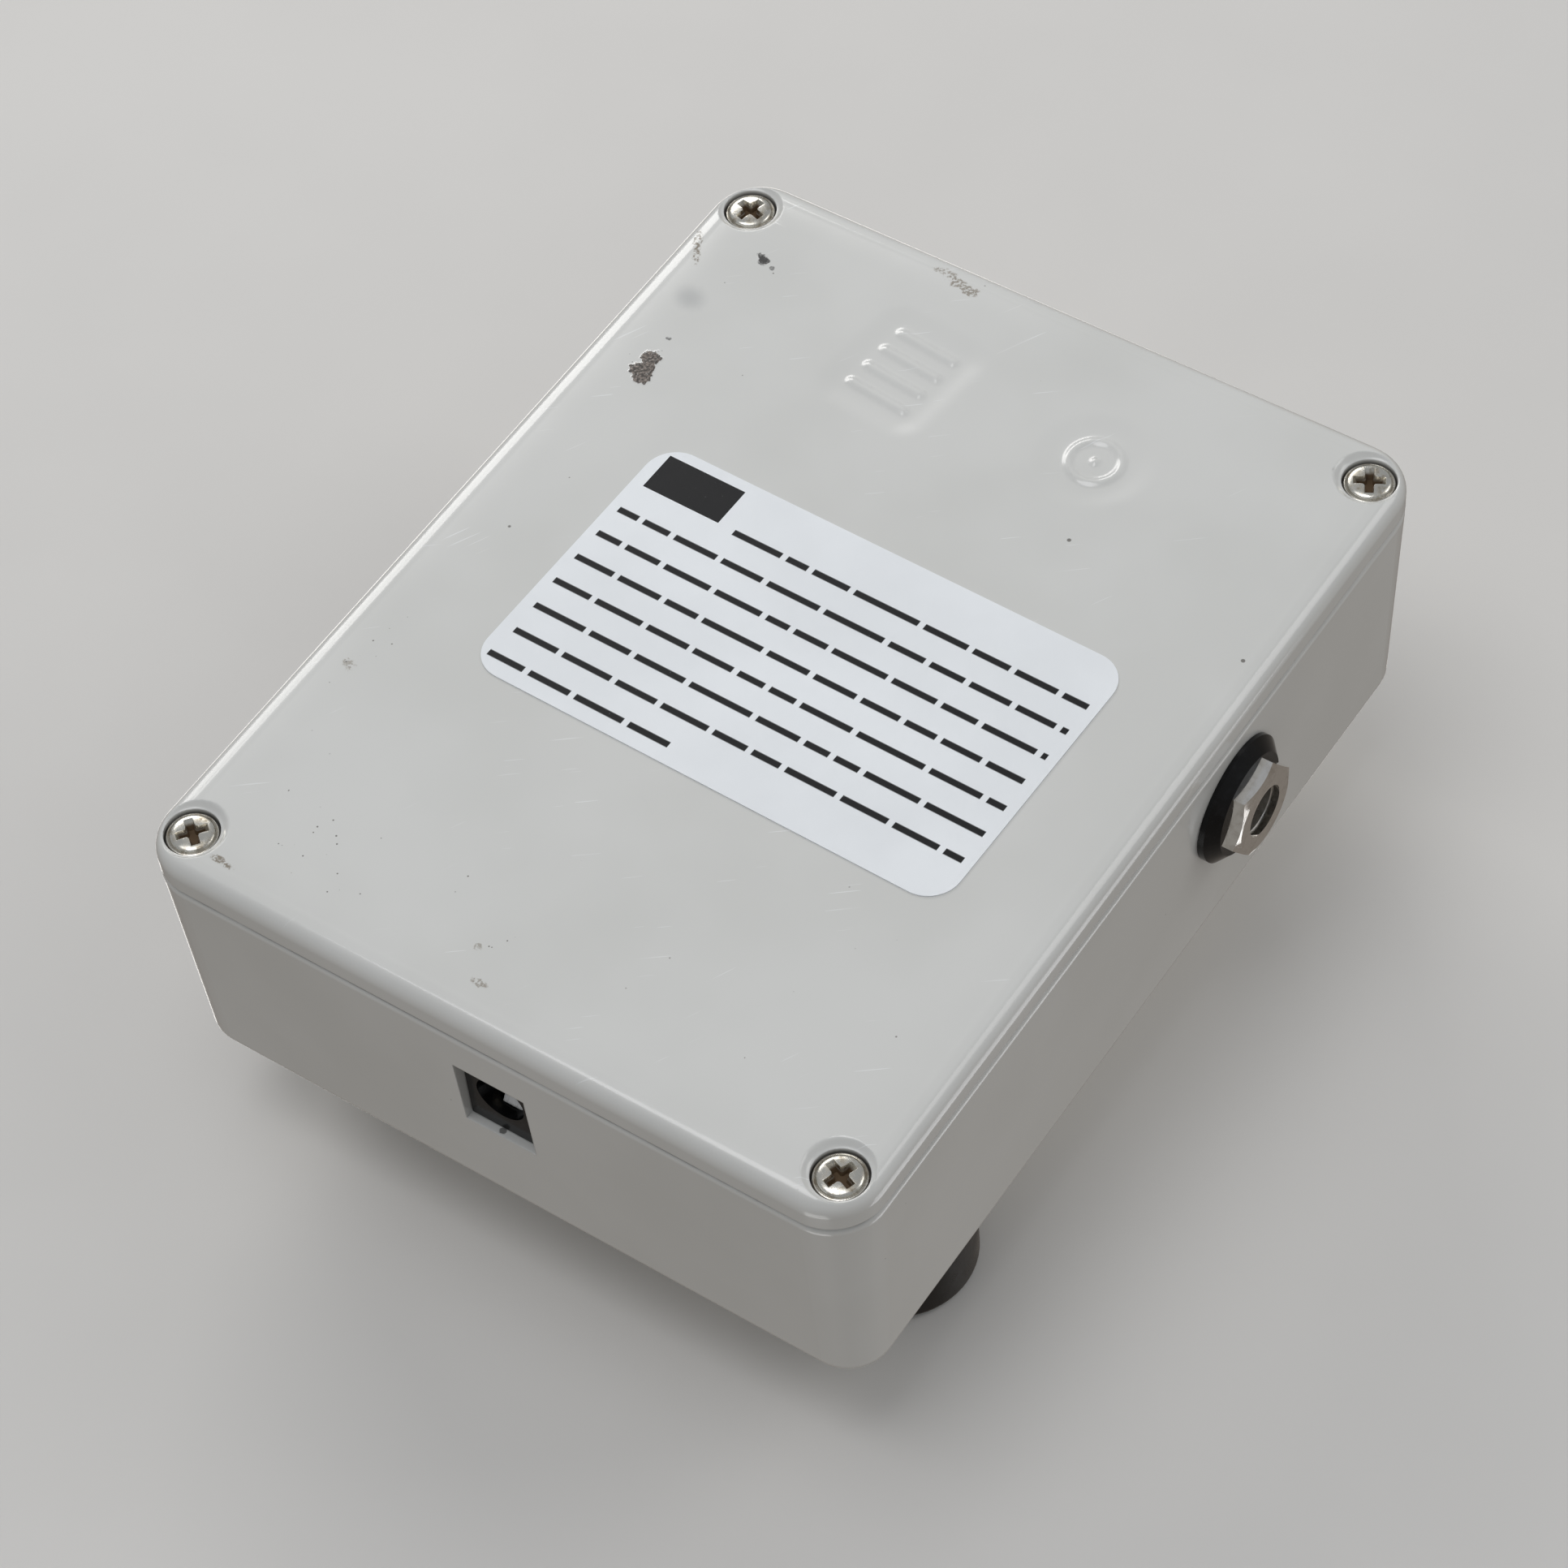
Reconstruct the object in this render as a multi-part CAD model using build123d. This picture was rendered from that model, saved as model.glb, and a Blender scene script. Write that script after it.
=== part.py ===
from build123d import *
from math import cos, radians, sin, tan
import os

# Direct injection box, upright, in millimetres. X is to the right, Y to the rear, Z up.
# The origin is the centre of the face that the box rests on, which is the label's face.

# Enclosure
box_width = 94.0
box_length = 119.5
box_height = 35.5
wall = 2.4
top_wall = 2.6
draft_angle = 2.25
corner_radius = 6.5
top_edge_radius = 1.8
rim_radius = 0.9

# Base cover
seam_height = 4.75
cover_edge_radius = 2.2
cover_rim_radius = 0.4
crown_width = 4.6
crown_drop = 0.4
lip_height = 2.2
lip_thickness = 1.6
lip_clearance = 0.25

# Cover screws and their posts
screw_inset_x = 4.55
screw_inset_y = 5.3
screw_radius = 1.5
screw_length = 10.0
screw_head_radius = 3.0
screw_head_height = 1.9
screw_head_depth = 0.6
screw_hole_clearance = 0.05
recess_clearance = 0.25
recess_lip_radius = 1.1
post_radius = 4.2
post_clearance = 0.35
cross_length = 3.7
cross_width = 0.95
cross_depth = 1.3
cover_cross_taper = 14
output_cross_taper = 10
head_rounding = 0.55

# Label and cast pads on the cover
label_width = 63.5
label_height = 38.1
label_thickness = 0.15
label_corner_radius = 4.0
label_x = 1.95
label_y = 1.7
label_turn = 1.2
pad_depth = 0.3
pad_rounding = 0.9
pad_corner_radius = 1.6
mark_rise = 0.2
rib_taper = 20
rib_pad_width = 12.6
rib_pad_height = 14.6
rib_pad_x = -12.0
rib_pad_y = -41.2
rib_pad_turn = 6.0
rib_count = 4
rib_length = 8.6
rib_width = 1.3
rib_pitch = 3.1
ring_pad_radius = 5.4
ring_pad_x = 14.5
ring_pad_y = -40.7
ring_radius = 3.1
ring_width = 0.9
ring_dot_radius = 0.9

# Main board, which hangs from the controls in the top
board_bottom = 22.0
board_thickness = 1.6
board_width = 82.0
board_rear_margin = 10.25
board_front = -29.0
board_corner_radius = 1.5
notch_clearance = 2.8
pin_hole_clearance = 0.1

# Jacks
jack_names = ("input_jack", "thru_jack")
input_jack_y = -17.5
thru_jack_y = -22.5
jack_drop = 6.6
plug_bore_radius = 3.2
sleeve_wall = 0.7
sleeve_mouth_chamfer = 0.35
bushing_wall = 0.6
bushing_recess = 0.7
jack_body_length = 24.0
jack_body_width = 15.0
jack_body_below = 6.0
jack_bore_length = 12.0
jack_cavity_width = 9.6
jack_back_wall = 1.6
jack_body_edge_radius = 0.8
jack_washer_radius = 7.9
jack_washer_front_radius = 6.4
jack_washer_thickness = 2.4
jack_washer_rim = 1.1
jack_nut_flats = 10.8
jack_nut_thickness = 1.95
jack_nut_turn = 7.0
spring_thickness = 0.3
spring_width = 3.0

# Power jack
power_x = -0.13
window_width = 9.4
window_height = 10.8
window_z = 16.25
power_body_width = 9.0
power_body_height = 11.0
power_body_length = 14.0
power_nose_height = 10.3
power_face_depth = 1.15
power_drop = 6.3
power_bore_radius = 3.15
power_bore_depth = 10.0
power_pin_radius = 1.05
power_pin_setback = 1.8
power_stem_radius = 1.4
power_leaf_width = 3.2
power_leaf_thickness = 0.35
power_leaf_inset = 0.35
power_leaf_setback = 1.9
power_slot_setback = 1.7
power_pin_rounding = 0.8

# Balanced output connector
xlr_y = 9.0
xlr_z = 18.5
xlr_flange_width = 31.0
xlr_flange_height = 26.0
xlr_flange_thickness = 1.6
xlr_flange_corner = 3.0
xlr_bore_radius = 8.15
xlr_shell_radius = 10.6
xlr_depth = 17.0
xlr_insert_thickness = 5.0
xlr_pin_radius = 1.2
xlr_pin_circle = 4.05
xlr_pin_setback = 1.0
xlr_cup_radius = 0.95
xlr_cup_length = 4.5
xlr_screw_x = 12.0
xlr_screw_y = 9.5
xlr_screw_radius = 1.5
xlr_screw_head_radius = 2.7
xlr_screw_head_height = 1.7
xlr_screw_length = 7.0
xlr_flange_edge_radius = 0.5
xlr_pin_rounding = 0.7

# Potentiometers and knobs
knob_names = ("volume", "tone", "blend")
knob_spacing = 33.4
knob_row_y = 34.4
knob_radius = 9.5
knob_top = 50.5
knob_gap = 0.7
knob_edge_radius = 1.1
knob_dish_radius = 7.2
knob_dish_depth = 0.5
knob_skirt_wall = 2.1
knob_foot_chamfer = 0.4
knob_dish_rounding = 0.9
pointer_width = 1.1
pointer_depth = 0.6
pointer_start = 1.2
pointer_edge_share = 0.3
pot_radius = 8.4
pot_gap = 0.2
wafer_thickness = 0.8
pot_shell = 1.0
rotor_radius = 6.0
rotor_thickness = 1.2
pot_bushing_radius = 3.5
pot_bushing_height = 4.6
pot_shaft_radius = 3.0
pot_shaft_grip = 6.0
pot_shaft_chamfer = 0.4
rotor_side_room = 0.6
pot_pin_pitch = 5.0
pot_pin_offset = 6.4
pot_pin_width = 1.0
pot_washer_radius = 6.0
pot_washer_thickness = 0.5
pot_nut_flats = 10.0
pot_nut_thickness = 2.2

# Toggle switches
toggle_names = ("ground_lift", "pad")
toggle_spacing = 32.0
toggle_y = 4.0
toggle_body_width = 6.9
toggle_body_length = 12.7
toggle_bushing_radius = 3.0
toggle_bushing_height = 5.5
toggle_pivot_depth = 1.5
toggle_ball_radius = 1.5
toggle_collar_half = 0.6
toggle_tail_radius = 0.75
toggle_tail_length = 3.5
toggle_tail_room = 0.75
toggle_mouth_room = 1.0
toggle_lever_length = 9.4
toggle_lever_root_radius = 0.95
toggle_lever_tip_radius = 1.5
toggle_throw = 24.0
toggle_washer_radius = 4.6
toggle_washer_thickness = 0.4
toggle_nut_flats = 8.0
toggle_nut_thickness = 1.8
toggle_nut_turn = 15
toggle_pin_pitch = 4.7

# Indicator lamp
led_y = -14.0
led_radius = 2.5
led_height = 3.2
led_bezel_radius = 4.6
led_bezel_height = 1.4
led_barrel_radius = 3.9
led_leg_spacing = 2.54
led_leg_width = 0.5
led_flange_edge = 0.4
led_mouth_rim = 0.7
led_base_depth = 2.0

# Footswitch
footswitch_y = -40.0
footswitch_body_width = 16.5
footswitch_body_height = 14.0
footswitch_shell = 1.6
footswitch_bushing_radius = 6.0
footswitch_bushing_height = 7.5
footswitch_button_radius = 4.95
footswitch_button_top = 50.0
footswitch_button_length = 11.0
footswitch_button_edge = 1.6
footswitch_washer_rounding = 0.6
footswitch_stem_radius = 2.0
footswitch_stem_length = 15.0
footswitch_shelf = 1.5
footswitch_clip_radius = 3.6
footswitch_clip_thickness = 0.8
footswitch_clip_gap = 0.4
footswitch_washer_radius = 9.6
footswitch_washer_thickness = 1.0
footswitch_nut_flats = 14.0
footswitch_nut_thickness = 2.5
footswitch_nut_turn = 30
footswitch_wire_radius = 0.4
footswitch_spring_gap = 0.45
footswitch_spring_turns = 5
footswitch_body_edge_radius = 1.2
footswitch_lug_spread = 8.0
footswitch_lug_length = 6.0
footswitch_lug_width = 2.4
footswitch_lug_thickness = 0.8

# Leads and parts on the board
lead_radius = 0.65
lead_bend_radius = 2.0
output_lead_drop = 12.0
output_lead_start = 4.0
output_lead_reach = 5.0
output_lead_spread = 0.9
footswitch_lead_drop = 4.5
footswitch_lead_margin = 3.0
can_radius = 4.0
can_height = 10.5
can_edge_radius = 0.6
film_length = 7.4
film_width = 2.8
film_height = 6.6
film_edge_radius = 0.5
chip_length = 9.4
chip_width = 6.4
chip_height = 3.3
chip_standoff = 0.5
chip_pin_pitch = 2.54
chip_pin_width = 0.5
chip_pin_reach = 0.6
chip_pins = 4
resistor_radius = 1.15
resistor_length = 6.2
resistor_lead_radius = 0.3
resistor_standoff = 0.4
resistor_pitch = 3.4
resistors_in_row = 5
resistor_rows = ((-8.0, 18.0), (-36.0, 42.0))
resistor_lead_reach = 1.0
resistor_lead_grip = 0.5

# Nuts
nut_bevel_share = 0.6
nut_face_margin = 0.2

# Clearances
running_clearance = 0.05
hole_clearance = 0.15
seat_clearance = 0.1
snug_clearance = 0.02

# Places that follow from the sizes above
top_inside = box_height - top_wall
board_top = board_bottom + board_thickness
board_rear = box_length / 2 - board_rear_margin
knob_columns = (-knob_spacing, 0.0, knob_spacing)
toggle_columns = (-toggle_spacing / 2, toggle_spacing / 2)
jack_z = board_bottom - jack_drop
sleeve_outer_radius = plug_bore_radius + sleeve_wall
bushing_radius = sleeve_outer_radius + bushing_wall
jack_sides = ((1, input_jack_y), (-1, thru_jack_y))
jack_seat_height = jack_z + jack_washer_radius
under_panel = top_inside - pot_gap
toggle_top = box_height + toggle_bushing_height
toggle_pivot = toggle_top - toggle_pivot_depth
button_bottom = footswitch_button_top - footswitch_button_length
power_z = board_bottom - power_drop
spring_outer_radius = footswitch_button_radius - footswitch_spring_gap
footswitch_spring_radius = spring_outer_radius - footswitch_wire_radius


def inset_at(height):
    """How far the drafted wall has leaned inwards at a height."""
    return max(height - seam_height, 0) * tan(radians(draft_angle))


def outer_x(height):
    return box_width / 2 - inset_at(height)


def outer_y(height):
    return box_length / 2 - inset_at(height)


def post(radius, low, high, x=0.0, y=0.0):
    return Pos(x, y, low) * extrude(Circle(radius), amount=high - low)


def block(x_low, x_high, y_low, y_high, z_low, z_high):
    centre = Pos((x_low + x_high) / 2, (y_low + y_high) / 2, (z_low + z_high) / 2)
    return centre * Box(x_high - x_low, y_high - y_low, z_high - z_low)


def slab(width, height, radius, low, high):
    return Pos(0, 0, low) * extrude(RectangleRounded(width, height, radius), amount=high - low)


def hexagon(flats, low, high, turn=0.0):
    outline = RegularPolygon(flats / 2, 6, major_radius=False, rotation=turn)
    return Pos(0, 0, low) * extrude(outline, amount=high - low)


def turned(points):
    """A solid of revolution about Z from half of its section, as (radius, height) points."""
    section = Plane.XZ * make_face(Polyline(*points, close=True))
    return revolve(section, Axis.Z)


def hex_nut(flats, low, high, bore_radius, turn=0.0):
    nut = hexagon(flats, low, high, turn)
    corner = flats / 2 / cos(radians(30))
    bevel = (corner - flats / 2) * nut_bevel_share
    face = flats / 2 - nut_face_margin
    trim = turned([(0, low), (corner, low), (corner, high - bevel), (face, high), (0, high)])
    return (nut & trim) - post(bore_radius, low - 1, high + 1)


def side_frame(side, y, z, lean=0.0):
    """A frame on a long side: its Z points out of the box, its Y points up the wall."""
    out = (side * cos(radians(lean)), 0, sin(radians(lean)))
    x_out = side * (outer_x(z) if lean else outer_x(jack_seat_height))
    return Plane(origin=(x_out, y, z), x_dir=(0, side, 0), z_dir=out).location


def rear_frame(x, y, z):
    """A frame on the rear wall: its Z points backwards out of the box, its Y points up."""
    return Plane(origin=(x, y, z), x_dir=(-1, 0, 0), z_dir=(0, 1, 0)).location


def screw_places():
    half_x = box_width / 2 - screw_inset_x
    half_y = box_length / 2 - screw_inset_y
    return [(sx * half_x, sy * half_y) for sx in (-1, 1) for sy in (-1, 1)]


def group(solids):
    return Compound(children=[solid for solid in solids])


def outer_hull(grow=0.0, low=seam_height, high=box_height):
    """The drafted outside of the enclosure, or of its hollow when grow is negative."""
    outline = RectangleRounded(box_width + 2 * grow, box_length + 2 * grow, corner_radius + grow)
    return Pos(0, 0, low) * extrude(outline, amount=high - low, taper=draft_angle)


# Enclosure


def enclosure_body():
    hull = outer_hull()
    hull = fillet(hull.edges().group_by(Axis.Z)[-1], top_edge_radius)
    hull = fillet(hull.edges().group_by(Axis.Z)[0], rim_radius)
    hollow = outer_hull(-wall, seam_height, top_inside)
    posts = [post(post_radius, seam_height, top_inside, x, y) & outer_hull() for x, y in screw_places()]
    shell = hull - (hollow - posts)
    for x, y in screw_places():
        shell -= post(screw_radius + screw_hole_clearance, seam_height, seam_height + screw_length, x, y)
    return shell - side_openings() - rear_opening() - top_openings()


def side_openings():
    cuts = []
    for side, y in jack_sides:
        bush = post(bushing_radius + hole_clearance, -3 * wall, wall)
        cuts += [side_frame(side, y, jack_z) * bush]
    barrel = post(xlr_shell_radius + hole_clearance, -3 * wall, wall)
    for x, y in xlr_screw_places():
        barrel += post(xlr_screw_radius + screw_hole_clearance, -3 * wall, wall, x, y)
    cuts += [side_frame(-1, xlr_y, xlr_z, draft_angle) * barrel]
    return cuts


def rear_opening():
    window = Box(window_width, window_height, 4 * wall)
    return [rear_frame(power_x, outer_y(window_z), window_z) * window]


def top_openings():
    low = top_inside - top_wall
    high = box_height + top_wall
    cuts = [post(pot_bushing_radius + hole_clearance, low, high, x, knob_row_y) for x in knob_columns]
    cuts += [post(toggle_bushing_radius + hole_clearance, low, high, x, toggle_y) for x in toggle_columns]
    cuts += [post(led_barrel_radius + hole_clearance, low, high, 0, led_y)]
    cuts += [post(footswitch_bushing_radius + hole_clearance, low, high, 0, footswitch_y)]
    return cuts


def base_cover():
    face = label_thickness
    cover = slab(box_width, box_length, corner_radius, face, seam_height)
    base = cover.faces().sort_by(Axis.Z)[0]
    cover = chamfer(base.edges(), crown_width, crown_drop, reference=base)
    outer_edges = cover.edges().filter_by(lambda e: abs(e.center().Z - face - crown_drop) < 0.02)
    cover = fillet(outer_edges, cover_edge_radius)
    cover = fillet(cover.edges().group_by(Axis.Z)[-1], cover_rim_radius)
    cover += cover_lip()
    for x, y in screw_places():
        cover -= Pos(x, y, 0) * screw_recess()
    return cover - rib_pad() - ring_pad()


def cover_lip():
    inset = wall + lip_clearance
    low = seam_height - 1.0
    high = seam_height + lip_height
    outside = slab(box_width - 2 * inset, box_length - 2 * inset, corner_radius - inset, low, high)
    inset += lip_thickness
    inside = slab(box_width - 2 * inset, box_length - 2 * inset, corner_radius - inset, low, high)
    lip = outside - inside
    for x, y in screw_places():
        lip -= post(post_radius + post_clearance, low, high, x, y)
    lean = inset_at(high) + lip_clearance
    limit_x = box_width - 2 * (wall + lean)
    limit_y = box_length - 2 * (wall + lean)
    return lip & slab(limit_x, limit_y, corner_radius, low, high)


def screw_recess():
    """The round counterbore over a cover screw, with a rounded mouth, and the screw's hole."""
    face = label_thickness
    floor = face + screw_head_depth + screw_head_height
    radius = screw_head_radius + recess_clearance
    lip = recess_lip_radius
    mouth = radius + lip
    outline = Line((0, face - 1), (mouth, face - 1))
    outline += Line((mouth, face - 1), (mouth, face))
    corner = sin(radians(45)) * lip
    outline += ThreePointArc((mouth, face), (mouth - corner, face + lip - corner), (radius, face + lip))
    outline += Line((radius, face + lip), (radius, floor))
    outline += Line((radius, floor), (0, floor))
    outline += Line((0, floor), (0, face - 1))
    bore = revolve(Plane.XZ * make_face(outline), Axis.Z)
    return bore + post(screw_radius + 2 * hole_clearance, face, seam_height + lip_height)


def rib_pad():
    face = label_thickness
    pad = slab(rib_pad_width, rib_pad_height, pad_corner_radius, face - 1, face + pad_depth)
    pad = fillet(pad.edges().group_by(Axis.Z)[-1], pad_depth * pad_rounding)
    start = -(rib_count - 1) / 2
    for i in range(rib_count):
        rib = Pos(0, (start + i) * rib_pitch, face) * extrude(
            SlotOverall(rib_length, rib_width), amount=pad_depth + mark_rise, taper=-rib_taper
        )
        pad -= rib
    return Pos(rib_pad_x, rib_pad_y, 0) * Rot(0, 0, rib_pad_turn) * pad


def ring_pad():
    face = label_thickness
    top = face + pad_depth + mark_rise
    pad = post(ring_pad_radius, face - 1, face + pad_depth)
    pad = fillet(pad.edges().group_by(Axis.Z)[-1], pad_depth * pad_rounding)
    half = ring_width / 2
    ring = turned(
        [
            (ring_radius - half, face),
            (ring_radius + half, face),
            (ring_radius + half + mark_rise, top),
            (ring_radius - half - mark_rise, top),
        ]
    )
    dot = turned([(0, face), (ring_dot_radius, face), (ring_dot_radius + mark_rise, top), (0, top)])
    return Pos(ring_pad_x, ring_pad_y, 0) * (pad - ring - dot)


def cover_screws():
    return group([Pos(x, y, 0) * cover_screw() for x, y in screw_places()])


def cover_screw():
    low = label_thickness + screw_head_depth
    head = post(screw_head_radius, low, low + screw_head_height)
    head = fillet(head.edges().group_by(Axis.Z)[0], screw_head_height * head_rounding)
    shank = post(screw_radius, low + screw_head_height, low + screw_head_height + screw_length)
    cross = Pos(0, 0, low) * extrude(cross_outline(), amount=cross_depth, taper=cover_cross_taper)
    return head + shank - cross


def cross_outline():
    return Rectangle(cross_length, cross_width) + Rectangle(cross_width, cross_length)


def base_label():
    sheet = slab(label_width, label_height, label_corner_radius, 0, label_thickness)
    return Pos(label_x, label_y, 0) * Rot(0, 0, label_turn) * sheet


# Jacks, built with Z pointing out of the wall and Z = 0 on the washer's seat


def jack_inner_front():
    """Where the jack's body starts, behind the drafted inside of the wall."""
    inner = outer_x(board_bottom) - wall - seat_clearance
    return inner - outer_x(jack_seat_height)


def jack_mouth():
    return jack_washer_thickness + jack_nut_thickness


def jack_housing():
    front = jack_inner_front()
    back = front - jack_body_length
    body = block(-jack_body_width / 2, jack_body_width / 2, -jack_body_below, jack_drop, back, front)
    body = fillet(body.edges().filter_by(Axis.Z), jack_body_edge_radius)
    neck = post(bushing_radius, front, jack_mouth() - bushing_recess)
    bore = post(sleeve_outer_radius + snug_clearance, front - jack_bore_length, jack_mouth())
    half = jack_cavity_width / 2
    cavity = block(-half, half, -half, half, back + jack_back_wall, front - jack_bore_length)
    return body + neck - bore - cavity


def jack_sleeve():
    low = jack_inner_front() - jack_bore_length
    high = jack_mouth() - bushing_recess
    tube = post(sleeve_outer_radius, low, high) - post(plug_bore_radius, low - 1, high + 1)
    mouth_edge = tube.edges().group_by(Axis.Z)[-1].sort_by(SortBy.RADIUS)[0]
    return chamfer(mouth_edge, sleeve_mouth_chamfer)


def jack_washer():
    hole = bushing_radius + running_clearance
    return turned(
        [
            (hole, 0),
            (jack_washer_radius, 0),
            (jack_washer_radius, jack_washer_rim),
            (jack_washer_front_radius, jack_washer_thickness),
            (hole, jack_washer_thickness),
        ]
    )


def jack_nut():
    low = jack_washer_thickness
    high = jack_mouth()
    nut = hex_nut(jack_nut_flats, low, high, plug_bore_radius, jack_nut_turn)
    return nut - post(bushing_radius + snug_clearance, low - 1, high - bushing_recess + snug_clearance)


def jack_springs():
    """Tip and switch leaves on the floor and the roof of the jack's cavity."""
    front = jack_inner_front() - jack_bore_length - seat_clearance
    back = jack_inner_front() - jack_body_length + jack_back_wall + seat_clearance
    near = plug_bore_radius + running_clearance
    far = jack_cavity_width / 2 - seat_clearance
    half = spring_width / 2
    leaves = []
    for way in (-1, 1):
        levels = sorted((way * near, way * (near + spring_thickness)))
        strip = block(-half, half, levels[0], levels[1], back, front)
        foot_levels = sorted((way * near, way * far))
        foot = block(-half, half, foot_levels[0], foot_levels[1], back, back + spring_thickness)
        leaves.append(strip + foot)
    return group(leaves)


# Power jack, built with Z pointing backwards and Z = 0 on its front face


def power_face():
    """Where the jack's front face stands, inside the window in the wall."""
    return outer_y(window_z) - power_face_depth


def power_frame():
    return rear_frame(power_x, power_face(), power_z)


def power_jack_body():
    half = power_body_width / 2
    top = power_drop
    shoulder = outer_y(board_bottom) - wall - seat_clearance - power_face()
    body = block(-half, half, top - power_body_height, top, -power_body_length, shoulder)
    nose_low = window_z - power_z - power_nose_height / 2
    body += block(-half, half, nose_low, nose_low + power_nose_height, shoulder, 0)
    bore = post(power_bore_radius, -power_bore_depth, 1)
    slot = block(
        -power_leaf_width / 2 - seat_clearance,
        power_leaf_width / 2 + seat_clearance,
        0,
        power_bore_radius + power_leaf_thickness,
        -power_bore_depth,
        -power_slot_setback,
    )
    stem = post(power_stem_radius + snug_clearance, -power_body_length - 1, 0)
    return body - bore - slot - stem


def power_jack_pin():
    pin = post(power_pin_radius, -power_bore_depth, -power_pin_setback)
    pin = fillet(pin.edges().group_by(Axis.Z)[-1], power_pin_radius * power_pin_rounding)
    return pin + post(power_stem_radius, -power_body_length, -power_bore_depth)


def power_jack_leaf():
    low = power_bore_radius - power_leaf_inset
    half = power_leaf_width / 2
    back = seat_clearance - power_bore_depth
    return block(-half, half, low, low + power_leaf_thickness, back, -power_leaf_setback)


# Balanced output connector, built with Z out of the wall and Z = 0 on the wall


def xlr_frame():
    return side_frame(-1, xlr_y, xlr_z, draft_angle)


def xlr_screw_places():
    return [(xlr_screw_x, xlr_screw_y), (-xlr_screw_x, -xlr_screw_y)]


def xlr_pin_places():
    angles = (270, 30, 150)
    return [(xlr_pin_circle * cos(radians(a)), xlr_pin_circle * sin(radians(a))) for a in angles]


def xlr_shell():
    flange = slab(xlr_flange_width, xlr_flange_height, xlr_flange_corner, 0, xlr_flange_thickness)
    flange = fillet(flange.edges().group_by(Axis.Z)[-1], xlr_flange_edge_radius)
    shell = flange + post(xlr_shell_radius, -xlr_depth, 0)
    shell -= post(xlr_bore_radius, -xlr_depth - 1, xlr_flange_thickness + 1)
    for x, y in xlr_screw_places():
        shell -= post(xlr_screw_radius + screw_hole_clearance, -1, xlr_flange_thickness + 1, x, y)
    return shell


def xlr_insert():
    disc = post(xlr_bore_radius - snug_clearance, -xlr_depth, xlr_insert_thickness - xlr_depth)
    for x, y in xlr_pin_places():
        disc -= post(xlr_pin_radius + snug_clearance, -xlr_depth - 1, 0, x, y)
    return disc


def xlr_pins():
    pins = []
    for x, y in xlr_pin_places():
        pin = post(xlr_pin_radius, -xlr_depth, xlr_flange_thickness - xlr_pin_setback, x, y)
        pin = fillet(pin.edges().group_by(Axis.Z)[-1], xlr_pin_radius * xlr_pin_rounding)
        pins.append(pin + post(xlr_cup_radius, -xlr_depth - xlr_cup_length, -xlr_depth, x, y))
    return group(pins)


def xlr_screws():
    screws = []
    for x, y in xlr_screw_places():
        low = xlr_flange_thickness
        high = low + xlr_screw_head_height
        cross_low = high - cross_depth
        head = post(xlr_screw_head_radius, low, high, x, y)
        head = fillet(head.edges().group_by(Axis.Z)[-1], xlr_screw_head_height * head_rounding)
        shank = post(xlr_screw_radius, high - xlr_screw_head_height - xlr_screw_length, low, x, y)
        cross = extrude(cross_outline(), amount=cross_depth, taper=-output_cross_taper)
        cross = Pos(x, y, cross_low) * cross
        screws.append(head + shank - cross)
    return group(screws)


# Potentiometers and knobs, built about their own axis


def pot_body():
    low = board_top + wafer_thickness
    top = box_height + pot_bushing_height
    body = post(pot_radius, low, under_panel) + post(pot_bushing_radius, under_panel, top)
    body -= post(rotor_radius + rotor_side_room, low - 1, low + rotor_room())
    return body - post(pot_shaft_radius + running_clearance, low, top + 1)


def rotor_room():
    return rotor_thickness + 2 * pot_shell


def pot_wafer():
    low = board_top
    wafer = post(pot_radius, low, low + wafer_thickness)
    for i in (-1, 0, 1):
        x = i * pot_pin_pitch
        half = pot_pin_width / 2
        y = -pot_pin_offset
        wafer += block(x - half, x + half, y - half, y + half, board_bottom - 1, low)
    return wafer


def pot_shaft():
    low = board_top + wafer_thickness + pot_shell / 2
    rotor = post(rotor_radius, low, low + rotor_thickness)
    shaft = post(pot_shaft_radius, low, knob_socket_low() + pot_shaft_grip)
    return rotor + chamfer(shaft.edges().group_by(Axis.Z)[-1], pot_shaft_chamfer)


def knob_socket_low():
    return box_height + pot_bushing_height + knob_gap


def knob():
    low = box_height + knob_gap
    body = post(knob_radius, low, knob_top)
    body = fillet(body.edges().group_by(Axis.Z)[-1], knob_edge_radius)
    body = chamfer(body.edges().group_by(Axis.Z)[0], knob_foot_chamfer)
    body -= post(knob_radius - knob_skirt_wall, low - 1, knob_socket_low())
    socket_high = knob_socket_low() + pot_shaft_grip + seat_clearance
    body -= post(pot_shaft_radius + snug_clearance, low, socket_high)
    dish = post(knob_dish_radius, knob_top - knob_dish_depth, knob_top + 1)
    body -= fillet(dish.edges().group_by(Axis.Z)[0], knob_dish_depth * knob_dish_rounding)
    return body - pointer()


def pointer():
    """A line from the dish to the knob's edge and a little way down its side."""
    half = pointer_width / 2
    reach = knob_radius - knob_edge_radius * pointer_edge_share
    low = knob_top - knob_dish_depth - pointer_depth
    line = block(-half, half, pointer_start, reach, low, knob_top)
    line -= post(knob_dish_radius, knob_top - knob_dish_depth, knob_top + 1)
    side = post(knob_radius - pointer_depth / 2, box_height, knob_top + 1)
    return line & (post(knob_radius - knob_edge_radius, box_height, knob_top + 1) & side)


def ring_washer(radius, hole_radius, low, high):
    return post(radius, low, high) - post(hole_radius, low - 1, high + 1)


def at_knobs(solid):
    return group([Pos(x, knob_row_y, 0) * solid for x in knob_columns])


def pot_washer():
    top = box_height + pot_washer_thickness
    return ring_washer(pot_washer_radius, pot_bushing_radius + running_clearance, box_height, top)


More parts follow.
